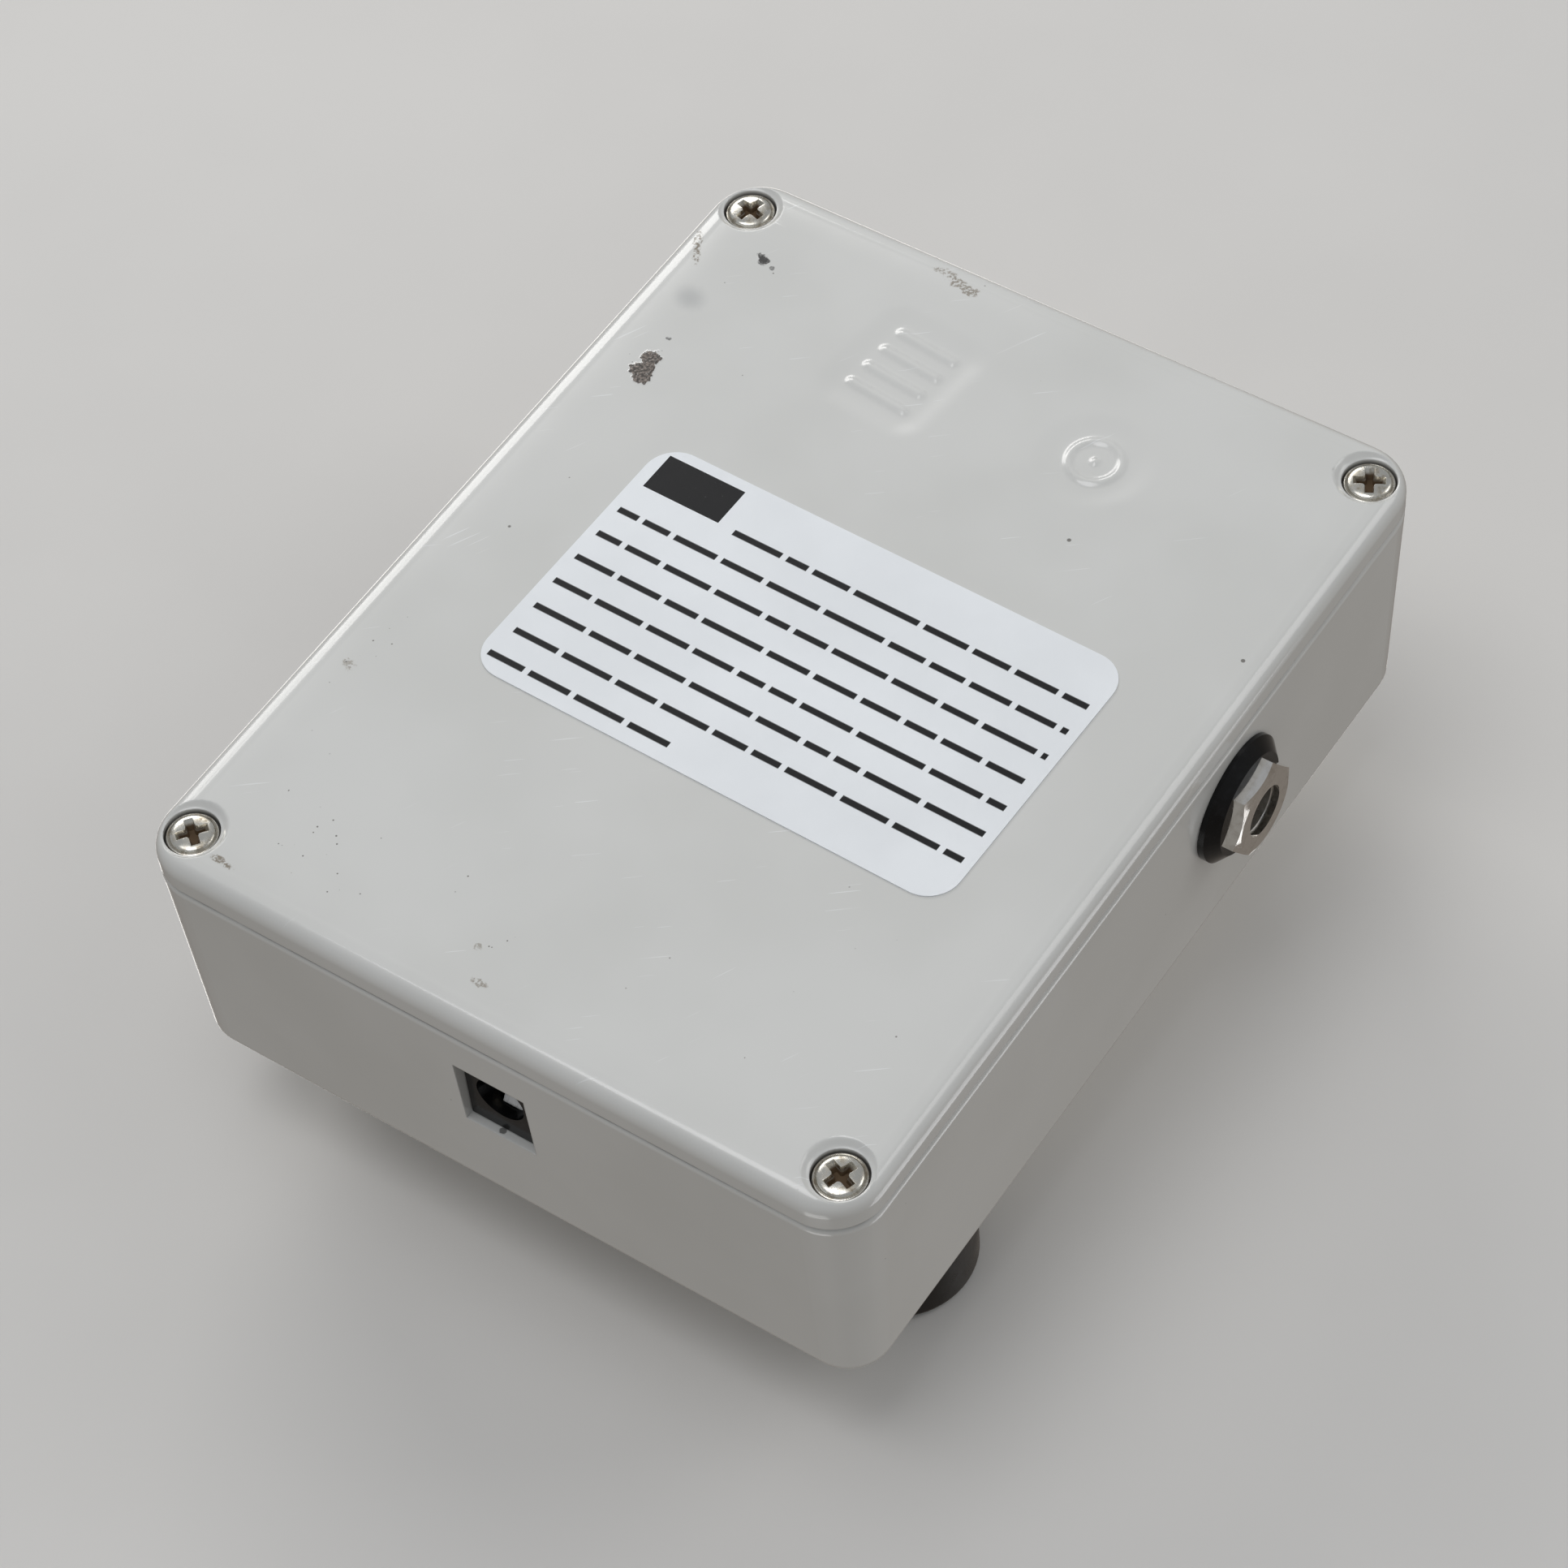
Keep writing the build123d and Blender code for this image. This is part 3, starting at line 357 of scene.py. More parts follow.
# an oval mark with a ragged edge, on the cover only
def spot(material, place, length, width, turn, strength, ragged, raggedAmount, core=0.75):
    x, y, z = parts(material, millimetres(material, (*place, 0), turn))
    x = calc(material, "DIVIDE", x, length)
    y = calc(material, "DIVIDE", y, width)
    far = calc(material, "SQRT", calc(material, "ADD", calc(material, "MULTIPLY", x, x),
                                      calc(material, "MULTIPLY", y, y)))
    far = calc(material, "ADD", far, calc(material, "MULTIPLY", calc(material, "SUBTRACT", ragged, 0.5),
                                          raggedAmount))
    mark = band(material, far, core, core + 0.4 if core > 0.5 else 1.3, strength, 0.0)
    return calc(material, "MULTIPLY", mark, band(material, z, 2.0, 3.0, 1.0, 0.0))


def allSpots(material, spots, ragged, raggedAmount, core=0.75):
    total = 0.0
    for place, length, width, turn, strength in spots:
        mark = spot(material, place, length, width, turn, strength, ragged, raggedAmount, core)
        total = calc(material, "MAXIMUM", total, mark)
    return total


# short printed ticks round each of the three knobs, on the top face
def knobTicks(material, x, y, z):
    t = enamel["ticks"]
    column = calc(material, "ROUND", calc(material, "DIVIDE", x, t["knobStep"]))
    sideways = calc(material, "SUBTRACT", x, calc(material, "MULTIPLY", column, t["knobStep"]))
    backwards = calc(material, "SUBTRACT", y, t["knobRow"])
    far = calc(material, "SQRT", calc(material, "ADD", calc(material, "MULTIPLY", sideways, sideways),
                                      calc(material, "MULTIPLY", backwards, backwards)))
    angle = calc(material, "ARCTAN2", sideways, backwards)
    step = radians(t["every"])
    nearest = calc(material, "MULTIPLY", calc(material, "ROUND", calc(material, "DIVIDE", angle, step)),
                   step)
    off = calc(material, "MULTIPLY", calc(material, "ABSOLUTE", calc(material, "SUBTRACT", angle, nearest)),
               far)
    tick = band(material, off, t["halfWidth"] - 0.03, t["halfWidth"] + 0.03, 1.0, 0.0)
    tick = calc(material, "MULTIPLY", tick, calc(material, "GREATER_THAN", far, t["inner"]))
    tick = calc(material, "MULTIPLY", tick, calc(material, "LESS_THAN", far, t["outer"]))
    tick = calc(material, "MULTIPLY", tick, calc(material, "LESS_THAN", calc(material, "ABSOLUTE", nearest),
                                                 radians(155)))
    return calc(material, "MULTIPLY", tick, calc(material, "GREATER_THAN", z, t["top"]))


def makeEnamel():
    material = newMaterial("enamel", roughness=0.24, coat=0.55, coatRoughness=0.07, ior=1.5)
    place = millimetres(material)
    x, y, z = parts(material, place)
    cloud = noise(material, place, 0.035, 3.0)
    fine = noise(material, place, 2.6, 4.0, 0.6)
    ragged = noise(material, place, 0.75, 5.0, 0.65, 0.4)
    colour = mixColour(material, band(material, cloud, 0.35, 0.65), enamel["colour"], enamel["shadeColour"])
    # marks from use
    chips = allSpots(material, enamel["chips"], ragged, 3.2)
    stains = calc(material, "MULTIPLY", allSpots(material, enamel["stains"], ragged, 3.0),
                  band(material, fine, 0.42, 0.56))
    smudges = allSpots(material, enamel["smudges"], ragged, 0.3, 0.1)
    cells = addNode(material, "TexVoronoi", {"Vector": place, "Scale": 0.16}, feature="F1")
    chance = parts(material, cells.outputs["Color"])[0]
    dot = calc(material, "MULTIPLY", band(material, cells.outputs["Distance"], 0.03, 0.05, 1.0, 0.0),
               band(material, chance, 0.80, 0.82))
    dense = allSpots(material, enamel["specked"], ragged, 0.6, 0.1)
    crumbs = addNode(material, "TexVoronoi", {"Vector": place, "Scale": 1.25}, feature="F1")
    size = calc(material, "ADD", crumbs.outputs["Distance"], calc(material, "MULTIPLY", ragged, 0.20))
    likely = calc(material, "ADD", parts(material, crumbs.outputs["Color"])[1], dense)
    speck = calc(material, "MULTIPLY", band(material, size, 0.20, 0.26, 1.0, 0.0),
                 band(material, likely, 0.992, 1.0))
    dot = calc(material, "MAXIMUM", dot, speck)
    # a scuff on the sill of the power socket's window
    away = calc(material, "MULTIPLY", lengthTo(material, enamel["scuff"]), 2.2)
    scuff = band(material, calc(material, "ADD", away, calc(material, "MULTIPLY", ragged, 1.6)), 1.5, 1.9,
                 1.0, 0.0)
    # the crust stands above the face
    crust = calc(material, "MULTIPLY", band(material, z, 0.095, 0.13, 1.0, 0.0),
                 band(material, y, -31.0, -30.0))
    crust = calc(material, "MULTIPLY", crust, band(material, y, -23.0, -22.0, 1.0, 0.0))
    # painted shade along the joint, mixed with grime there, and painted shade on the walls of the screw
    # wells
    joint = calc(material, "ABSOLUTE", calc(material, "SUBTRACT", z, enamel["seam"]))
    joint = calc(material, "MULTIPLY", band(material, joint, 0.10, 0.38, 1.0, 0.0),
                 band(material, noise(material, place, 0.11, 4.0, 0.65), 0.42, 0.60, 0.12, 1.0))
    fromScrewX = calc(material, "SUBTRACT", calc(material, "ABSOLUTE", x), enamel["screwPlace"][0])
    fromScrewY = calc(material, "SUBTRACT", calc(material, "ABSOLUTE", y), enamel["screwPlace"][1])
    fromScrew = calc(material, "SQRT", calc(material, "ADD",
                                            calc(material, "MULTIPLY", fromScrewX, fromScrewX),
                                            calc(material, "MULTIPLY", fromScrewY, fromScrewY)))
    # painted shade: the walls of the screw wells are darkened where shade falls in them
    wellShade = calc(material, "MULTIPLY", band(material, fromScrew, 3.2, 3.45, 1.0, 0.0),
                band(material, z, 0.9, 1.6))
    wellShade = calc(material, "MULTIPLY", wellShade, band(material, z, 3.4, 3.8, 0.7, 0.0))
    # scratches
    streaks = noise(material, millimetres(material, turn=-62, stretch=(0.10, 3.0, 0.0)), 1.0, 0.0)
    patches = noise(material, place, 0.06, 2.0)
    scratches = calc(material, "MULTIPLY", band(material, streaks, 0.80, 0.83),
                     band(material, patches, 0.50, 0.62))
    crossing = noise(material, millimetres(material, turn=-38, stretch=(0.14, 3.6, 0.0)), 1.0, 0.0)
    other = band(material, patches, 0.40, 0.52, 1.0, 0.0)
    scratches = calc(material, "MAXIMUM", scratches,
                     calc(material, "MULTIPLY", band(material, crossing, 0.80, 0.82), other))
    scratches = calc(material, "MULTIPLY", scratches, band(material, z, 0.8, 1.4, 1.0, 0.0))
    colour = mixColour(material, calc(material, "MULTIPLY", scratches, 0.55), colour, (0.86, 0.87, 0.87))
    colour = mixColour(material, calc(material, "MULTIPLY", smudges, 0.6), colour, (0.28, 0.29, 0.30))
    colour = mixColour(material, calc(material, "MULTIPLY", stains, 0.9), colour, enamel["dirt"])
    colour = mixColour(material, calc(material, "MULTIPLY", dot, 0.75), colour, enamel["grimeAndShade"])
    # painted shade in the joint, with some grime there, and painted shade on the walls of the screw wells
    colour = mixColour(material, calc(material, "MULTIPLY", calc(material, "MAXIMUM", joint, wellShade), 0.85),
                       colour, enamel["grimeAndShade"])
    colour = mixColour(material, calc(material, "MULTIPLY", chips,
                                      band(material, fine, 0.3, 0.5, 0.75, 1.0)), colour, enamel["chip"])
    colour = mixColour(material, calc(material, "MULTIPLY", scuff, 0.8), colour, enamel["chip"])
    colour = mixColour(material, knobTicks(material, x, y, z), colour, enamel["print"])
    grain = mixColour(material, band(material, fine, 0.40, 0.66), (0.05, 0.042, 0.035), (0.24, 0.20, 0.17))
    colour = mixColour(material, crust, colour, grain)
    worn = calc(material, "MAXIMUM", calc(material, "MAXIMUM", chips, stains),
                calc(material, "MAXIMUM", joint, wellShade))
    worn = calc(material, "MAXIMUM", worn, calc(material, "MAXIMUM", crust, scuff))
    rough = calc(material, "ADD", band(material, noise(material, place, 0.05, 1.0), 0.3, 0.7, 0.20, 0.25),
                 calc(material, "MULTIPLY", worn, 0.45))
    # the soft waviness of thick enamel, the casting under it, and the edges of chips
    rounded = addNode(material, "Bevel", {"Radius": 0.28 * mm}, samples=6).outputs[0]
    peel = relief(material, noise(material, place, 0.42, 0.0), 0.004, 1.0, rounded)
    sag = relief(material, noise(material, place, 0.06, 0.0), 0.022, 1.0, peel)
    edges = calc(material, "MULTIPLY", chips, band(material, fine, 0.3, 0.6, 0.5, 1.0))
    pits = relief(material, edges, 0.10, 1.0, sag)
    shade(material, colour=colour, roughness=rough, normal=pits)
    return material


enamelCoat = makeEnamel()
dress(enamelCoat, "enclosure_body", "base_cover")
print("enamel made")


# Label

label = {
    "middle": (1.95, 1.7),
    "turn": 1.2,
    "size": (63.5, 38.1),
    "paper": (0.85, 0.875, 0.895),
    "ink": (0.008, 0.008, 0.009),
    "firstRow": 7.0,
    "rowPitch": 4.1,
    "rows": 8,
    "barHeight": 0.85,
    "margin": 1.3,
    "blockPlace": (1.6, 1.4),
    "blockWidth": 10.6,
    "blockHeight": 5.4,
}


# plain bars in place of lines of print, and a plain block in the corner
def makeLabel():
    material = newMaterial("label", roughness=0.5, specular=0.25)
    x, y, z = parts(material, millimetres(material, (*label["middle"], 0), label["turn"]))
    along = calc(material, "ADD", x, label["size"][0] / 2)
    down = calc(material, "ADD", y, label["size"][1] / 2)
    row = calc(material, "DIVIDE", calc(material, "SUBTRACT", down,
                                        label["firstRow"] - label["rowPitch"] / 2), label["rowPitch"])
    line = calc(material, "FLOOR", row)
    within = calc(material, "ABSOLUTE", calc(material, "SUBTRACT", calc(material, "FRACT", row), 0.5))
    height = label["barHeight"] / label["rowPitch"] / 2
    bars = band(material, within, height - 0.02, height + 0.02, 1.0, 0.0)
    # bars of uneven length, broken by short gaps
    run = calc(material, "ADD", calc(material, "MULTIPLY", along, 0.155),
               calc(material, "MULTIPLY", line, 37.3))
    cells = addNode(material, "TexVoronoi", {"W": run, "Scale": 1.0, "Randomness": 1.0},
                    feature="DISTANCE_TO_EDGE", voronoi_dimensions="1D")
    bars = calc(material, "MULTIPLY", bars, band(material, cells.outputs["Distance"], 0.055, 0.065))
    start = calc(material, "ADD", label["margin"], calc(material, "MULTIPLY",
                                                        calc(material, "LESS_THAN", line, 0.5), 13.2))
    end = calc(material, "SUBTRACT", label["size"][0] - label["margin"],
               calc(material, "MULTIPLY", calc(material, "GREATER_THAN", line, label["rows"] - 1.5), 36.0))
    bars = calc(material, "MULTIPLY", bars, calc(material, "GREATER_THAN", along, start))
    bars = calc(material, "MULTIPLY", bars, calc(material, "LESS_THAN", along, end))
    bars = calc(material, "MULTIPLY", bars, calc(material, "GREATER_THAN", line, -0.5))
    bars = calc(material, "MULTIPLY", bars, calc(material, "LESS_THAN", line, label["rows"] - 0.5))
    halfWidth, halfHeight = label["blockWidth"] / 2, label["blockHeight"] / 2
    blockX = calc(material, "SUBTRACT", along, label["blockPlace"][0] + halfWidth)
    blockX = calc(material, "LESS_THAN", calc(material, "ABSOLUTE", blockX), halfWidth)
    blockY = calc(material, "SUBTRACT", down, label["blockPlace"][1] + halfHeight)
    blockY = calc(material, "LESS_THAN", calc(material, "ABSOLUTE", blockY), halfHeight)
    ink = calc(material, "MAXIMUM", bars, calc(material, "MULTIPLY", blockX, blockY))
    ink = calc(material, "MULTIPLY", ink, calc(material, "LESS_THAN", z, 0.08))
    place = millimetres(material)
    speckle = noise(material, place, 1.8, 4.0, 0.6)
    paper = mixColour(material, band(material, noise(material, place, 0.05, 3.0), 0.35, 0.65),
                      label["paper"],
                      tuple(0.95 * c for c in label["paper"]))
    ink = calc(material, "MULTIPLY", ink, band(material, speckle, 0.24, 0.34, 0.90, 1.0))
    shade(material, colour=mixColour(material, ink, paper, label["ink"]),
          roughness=band(material, speckle, 0.3, 0.7, 0.36, 0.50),
          normal=relief(material, noise(material, place, 0.09, 2.0), 0.03, 0.6))
    return material


dress(makeLabel(), "base_label")
print("label made")


# Metals

metals = {
    # name: colour, darker colour, roughness low and high, scratch strength
    "screwSteel": ((0.70, 0.68, 0.62), (0.40, 0.36, 0.29), 0.16, 0.36, 0.5),
    "brightNickel": ((0.82, 0.80, 0.77), (0.66, 0.63, 0.59), 0.05, 0.16, 0.25),
    "boreNickel": ((0.78, 0.76, 0.72), (0.55, 0.52, 0.47), 0.24, 0.42, 0.5),
    "contactMetal": ((0.80, 0.74, 0.60), (0.60, 0.53, 0.38), 0.14, 0.30, 0.3),
    "zincPlate": ((0.58, 0.59, 0.60), (0.42, 0.43, 0.44), 0.28, 0.45, 0.4),
}


def makeMetal(name):
    colour, dark, smooth, rough, depth = metals[name]
    material = newMaterial(name, metallic=1.0, roughness=smooth)
    place = millimetres(material)
    tarnish = noise(material, place, 0.8, 5.0, 0.65)
    lines = noise(material, millimetres(material, turn=31, stretch=(0.5, 11.0, 3.0)), 1.0, 2.0)
    worn = band(material, lines, 0.64, 0.72)
    shade(material, colour=mixColour(material, band(material, tarnish, 0.42, 0.70), colour, dark),
          roughness=calc(material, "ADD", band(material, tarnish, 0.3, 0.7, smooth, rough),
                         calc(material, "MULTIPLY", worn, 0.12)),
          normal=relief(material, lines, 0.012, depth))
    return material


# tarnished nickel, brown and dull down in the cross
def makeScrewSteel():
    material = makeMetal("screwSteel")
    z = parts(material, millimetres(material))[2]
    base = material.node_tree.nodes["Principled BSDF"].inputs
    bright = base["Base Color"].links[0].from_socket
    dull = base["Roughness"].links[0].from_socket
    deep = band(material, z, 1.15, 1.65)
    patches = noise(material, millimetres(material), 1.6, 4.0, 0.7)
    deep = calc(material, "MAXIMUM", deep, calc(material, "MULTIPLY", band(material, patches, 0.56, 0.68),
                                                0.35))
    shade(material, colour=mixColour(material, deep, bright, (0.10, 0.062, 0.030)),
          roughness=calc(material, "MAXIMUM", dull, calc(material, "MULTIPLY", deep, 0.7)),
          metallic=calc(material, "SUBTRACT", 1.0, calc(material, "MULTIPLY", deep, 0.7)))
    return material


# brushed silver, rough enough to gather the light that reaches it
def makeLeafSilver():
    material = newMaterial("leafSilver", metallic=0.25, roughness=0.45)
    lines = noise(material, millimetres(material, stretch=(9.0, 0.5, 0.5)), 1.0, 2.0)
    shade(material, colour=mixColour(material, band(material, lines, 0.35, 0.65), (0.95, 0.95, 0.94),
                                     (0.80, 0.80, 0.79)),
          normal=relief(material, lines, 0.02, 0.6))
    return material


screwSteel = makeScrewSteel()
brightNickel = makeMetal("brightNickel")
contactMetal = makeMetal("contactMetal")
zincPlate = makeMetal("zincPlate")
dress(screwSteel, "cover_screws")
dress(brightNickel, "output_screws")
dress(makeMetal("boreNickel"), "input_jack_sleeve", "thru_jack_sleeve")
dress(brightNickel, "input_jack_nut", "thru_jack_nut", "output_shell",
      "lamp_bezel", "pot_nuts", "pot_washers", "toggle_nuts", "toggle_washers", "footswitch_nut",
      "footswitch_button", "ground_lift_lever", "pad_lever", "power_jack_leaf")
dress(contactMetal, "input_jack_springs", "thru_jack_springs", "power_jack_pin", "output_pins",
      "footswitch_lugs",
      "footswitch_clip")
dress(zincPlate, "volume_pot", "tone_pot", "blend_pot", "volume_shaft", "tone_shaft", "blend_shaft",
      "footswitch_spring")
print("metals made")


# Plastics and the rest

plastics = {
    # name: colour, worn colour, roughness low and high, coat
    "blackPlastic": ((0.006, 0.006, 0.006), (0.012, 0.012, 0.013), 0.10, 0.18, 0.0),
    "knobPlastic": ((0.009, 0.0085, 0.008), (0.018, 0.017, 0.016), 0.26, 0.36, 0.0),
    "switchPlastic": ((0.035, 0.060, 0.130), (0.060, 0.085, 0.150), 0.32, 0.45, 0.0),
    "pointerPaint": ((0.80, 0.80, 0.78), (0.62, 0.61, 0.58), 0.40, 0.55, 0.0),
    "lampTint": ((0.55, 0.020, 0.015), (0.42, 0.012, 0.010), 0.06, 0.12, 0.6),
    "boardMask": ((0.020, 0.150, 0.060), (0.014, 0.105, 0.045), 0.26, 0.40, 0.2),
    "moulded": ((0.050, 0.052, 0.060), (0.085, 0.085, 0.092), 0.35, 0.55, 0.0),
    "insulation": ((0.420, 0.030, 0.028), (0.300, 0.022, 0.020), 0.40, 0.55, 0.0),
    "washerFibre": ((0.012, 0.012, 0.013), (0.028, 0.027, 0.027), 0.22, 0.36, 0.2),
}


def makePlastic(name):
    colour, worn, smooth, rough, coat = plastics[name]
    dull = name in ("blackPlastic", "knobPlastic")
    material = newMaterial(name, roughness=smooth, coat=coat, coatRoughness=0.12,
                           specular=0.2 if dull else 0.5)
    place = millimetres(material)
    cloud = noise(material, place, 0.6, 5.0, 0.65)
    dust = noise(material, place, 7.0, 3.0, 0.6)
    lines = noise(material, millimetres(material, turn=-17, stretch=(0.4, 9.0, 3.0)), 1.0, 2.0)
    rubbed = calc(material, "MAXIMUM", band(material, lines, 0.66, 0.74), band(material, dust, 0.68, 0.76))
    shade(material,
          colour=mixColour(material, calc(material, "MAXIMUM", band(material, cloud, 0.45, 0.75), rubbed),
                           colour, worn),
          roughness=band(material, cloud, 0.3, 0.7, smooth, rough),
          normal=relief(material, dust, 0.012, 0.5))
    return material


# a switch has a plastic case under the panel and a plated bushing above it
def makeSwitchFinish():
    material = makePlastic("switchPlastic")
    above = band(material, parts(material, millimetres(material))[2], 35.0, 35.4)
    base = material.node_tree.nodes["Principled BSDF"].inputs
    shade(material, colour=mixColour(material, above, base["Base Color"].links[0].from_socket,
                                     metals["brightNickel"][0]),
          metallic=above)
    return material


finishes = {name: makePlastic(name) for name in plastics if name != "switchPlastic"}
finishes["switchPlastic"] = makeSwitchFinish()
finishes["leafSilver"] = makeLeafSilver()
dress(finishes["blackPlastic"], "input_jack_washer", "thru_jack_washer", "input_jack_housing",
      "thru_jack_housing", "power_jack_body", "output_insert")
dress(finishes["washerFibre"], "footswitch_washer")
dress(finishes["switchPlastic"], "ground_lift_switch", "pad_switch", "footswitch_body")
dress(finishes["knobPlastic"], "volume_knob", "tone_knob", "blend_knob")
dress(finishes["pointerPaint"], "volume_pointer", "tone_pointer", "blend_pointer")
dress(finishes["lampTint"], "lamp")
dress(finishes["boardMask"], "main_board", "pot_wafers")
dress(finishes["moulded"], "electrolytic_cans", "film_capacitors", "amplifier_chips", "resistors")
dress(finishes["insulation"], "output_leads", "footswitch_leads")
print("plastics made")


# New pieces are modelled in edit mode; these pick what an operator acts on

def clearSelection():
    if bpy.context.object and bpy.context.object.mode == "EDIT":
        bpy.ops.object.mode_set(mode="OBJECT")
    bpy.ops.object.select_all(action="DESELECT")


# leaves the chosen faces, edges or points selected, in edit mode
def pick(kind, wanted):
    bpy.ops.object.mode_set(mode="EDIT")
    bpy.ops.mesh.select_mode(type=kind)
    bpy.ops.mesh.select_all(action="DESELECT")
    bpy.ops.object.mode_set(mode="OBJECT")
    mesh = bpy.context.object.data
    if kind == "FACE":
        for face in mesh.polygons:
            face.select = wanted(face)
    elif kind == "EDGE":
        for edge in mesh.edges:
            ends = [mesh.vertices[i].co for i in edge.vertices]
            edge.select = wanted(ends[0], ends[1])
    else:
        for point in mesh.vertices:
            point.select = wanted(point.co)
    bpy.ops.object.mode_set(mode="EDIT")


def placeInMesh(item):
    bpy.ops.object.mode_set(mode="OBJECT")
    bpy.ops.object.select_all(action="DESELECT")
    item.select_set(True)
    bpy.context.view_layer.objects.active = item
    bpy.ops.object.transform_apply(location=True, rotation=True, scale=True)


def faceOut(item):
    placeInMesh(item)
    pick("FACE", lambda face: True)
    bpy.ops.mesh.remove_doubles(threshold=0.001 * mm)
    bpy.ops.mesh.normals_make_consistent(inside=False)
    bpy.ops.object.mode_set(mode="OBJECT")


def applyModifier(item, kind, **settings):
    modifier = item.modifiers.new(kind.lower(), kind)
    for name, value in settings.items():
        setattr(modifier, name, value)
    bpy.ops.object.select_all(action="DESELECT")
    item.select_set(True)
    bpy.context.view_layer.objects.active = item
    bpy.ops.object.modifier_apply(modifier=modifier.name)


def smooth(item, angle):
    bpy.ops.object.select_all(action="DESELECT")
    item.select_set(True)
    bpy.context.view_layer.objects.active = item
    bpy.ops.object.shade_smooth_by_angle(angle=radians(angle))


def removePiece(item):
    bpy.data.objects.remove(item, do_unlink=True)


# a solid of revolution about Z, spun from half of its section in millimetres
def spinSection(name, section, steps=64):
    clearSelection()
    bpy.ops.mesh.primitive_plane_add(size=1 * mm, location=(0, 0, 0))
    item = bpy.context.object
    item.name = name
    pick("VERT", lambda point: True)
    bpy.ops.mesh.merge(type="CENTER")
    bpy.ops.transform.translate(value=Vector((section[0][0] * mm, 0, section[0][1] * mm)))
    for before, after in zip(section, section[1:]):
        step = Vector(((after[0] - before[0]) * mm, 0, (after[1] - before[1]) * mm))
        bpy.ops.mesh.extrude_region_move(TRANSFORM_OT_translate={"value": step})
    bpy.ops.mesh.select_all(action="SELECT")
    bpy.ops.mesh.spin(steps=steps, angle=2 * pi, center=(0, 0, 0), axis=(0, 0, 1))
    bpy.ops.mesh.select_all(action="SELECT")
    bpy.ops.mesh.remove_doubles(threshold=0.002 * mm)
    bpy.ops.mesh.normals_make_consistent(inside=False)
    bpy.ops.object.mode_set(mode="OBJECT")
    return item


# cuts one piece out of another and drops the cutter
def cutOut(item, cutter):
    applyModifier(item, "BOOLEAN", operation="DIFFERENCE", solver="EXACT", object=cutter)
    removePiece(cutter)


def finishPiece(item, material, body, slotName, *replaced):
    item.data.materials.clear()
    item.data.materials.append(material)
    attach(item, body)
    if replaced:
        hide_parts(*replaced)


# Base cover: thick enamel over a cast plate, with a soft crown, wells for the screws and two cast pads

cover = {
    "width": 94.0,
    "length": 119.5,
    "corner": 6.5,
    "face": 0.15,
    "joint": 4.75,
    "edgeRound": 2.1,
    "roundEnd": 84,
    "crownWidth": 4.3,
    "crownDrop": 0.20,
    "bead": 0.03,
    "rimRound": 0.35,
    "gap": 0.16,
    "gapDepth": 0.75,
    "lipInset": 2.65,
    "lipWall": 1.6,
    "lipHeight": 2.2,
    "wellRadius": 3.2,
    "wellFloor": 2.65,
    "wellLip": 1.1,
    "wellLipDrop": 0.75,
    "shankHole": 1.8,
    "postClearance": 4.55,
    "padCells": 84,
    "padSoftness": 2.3,
    "padDepth": 0.20,
    "ribPad": {"middle": (-12.0, -41.2), "turn": 6.0, "half": (5.9, 6.9), "corner": 1.8},
    "ribs": {"count": 4, "pitch": 3.1, "length": 8.8, "width": 1.15, "rise": 0.27},
    "ringPad": {"middle": (14.5, -40.7), "radius": 5.3},
    "ring": {"radius": 3.1, "width": 0.95, "rise": 0.28, "dot": 1.0},
    "crust": [((-38.5, -28.0), 1.35), ((-38.1, -26.4), 1.2), ((-37.7, -25.0), 1.25), ((-39.1, -25.7), 1.0)],
    "crustHeight": 0.13,
    "crustBox": (-40.7, -35.7, -30.6, -22.6),
}


def easeBand(value, low, high):
    t = min(max((value - low) / (high - low), 0.0), 1.0)
    return t * t * (3 - 2 * t)


# how far a rounded bar stands up at a distance from its middle line
def roundedRise(distance, width, rise):
    t = min(abs(distance) / (width * 0.85), 1.0)
    return rise * (1 - t * t) ** 2


# depth of the cast pads at a place on the face, in millimetres
def padDepth(x, y):
    soft = cover["padSoftness"]
    pad = cover["ribPad"]
    turn = radians(-pad["turn"])
    dx, dy = x - pad["middle"][0], y - pad["middle"][1]
    u, v = dx * cos(turn) - dy * sin(turn), dx * sin(turn) + dy * cos(turn)
    sideU, sideV = abs(u) - pad["half"][0] + pad["corner"], abs(v) - pad["half"][1] + pad["corner"]
    outside = (max(sideU, 0) ** 2 + max(sideV, 0) ** 2) ** 0.5 + min(max(sideU, sideV), 0) - pad["corner"]
    depth = cover["padDepth"] * (1 - easeBand(outside, -soft / 2, soft))
    ribs = cover["ribs"]
    rise = 0.0
    for i in range(ribs["count"]):
        across = v - (i - (ribs["count"] - 1) / 2) * ribs["pitch"]
        along = max(abs(u) - (ribs["length"] - ribs["width"]) / 2, 0)
        rise = max(rise, roundedRise((across ** 2 + along ** 2) ** 0.5, ribs["width"], ribs["rise"]))
    pad, ring = cover["ringPad"], cover["ring"]
    far = ((x - pad["middle"][0]) ** 2 + (y - pad["middle"][1]) ** 2) ** 0.5
    depth = max(depth, cover["padDepth"] * (1 - easeBand(far - pad["radius"], -soft / 2, soft)))
    rise = max(rise, roundedRise(far - ring["radius"], ring["width"], ring["rise"]))
    rise = max(rise, roundedRise(far, ring["dot"], ring["rise"]))
    return depth - rise


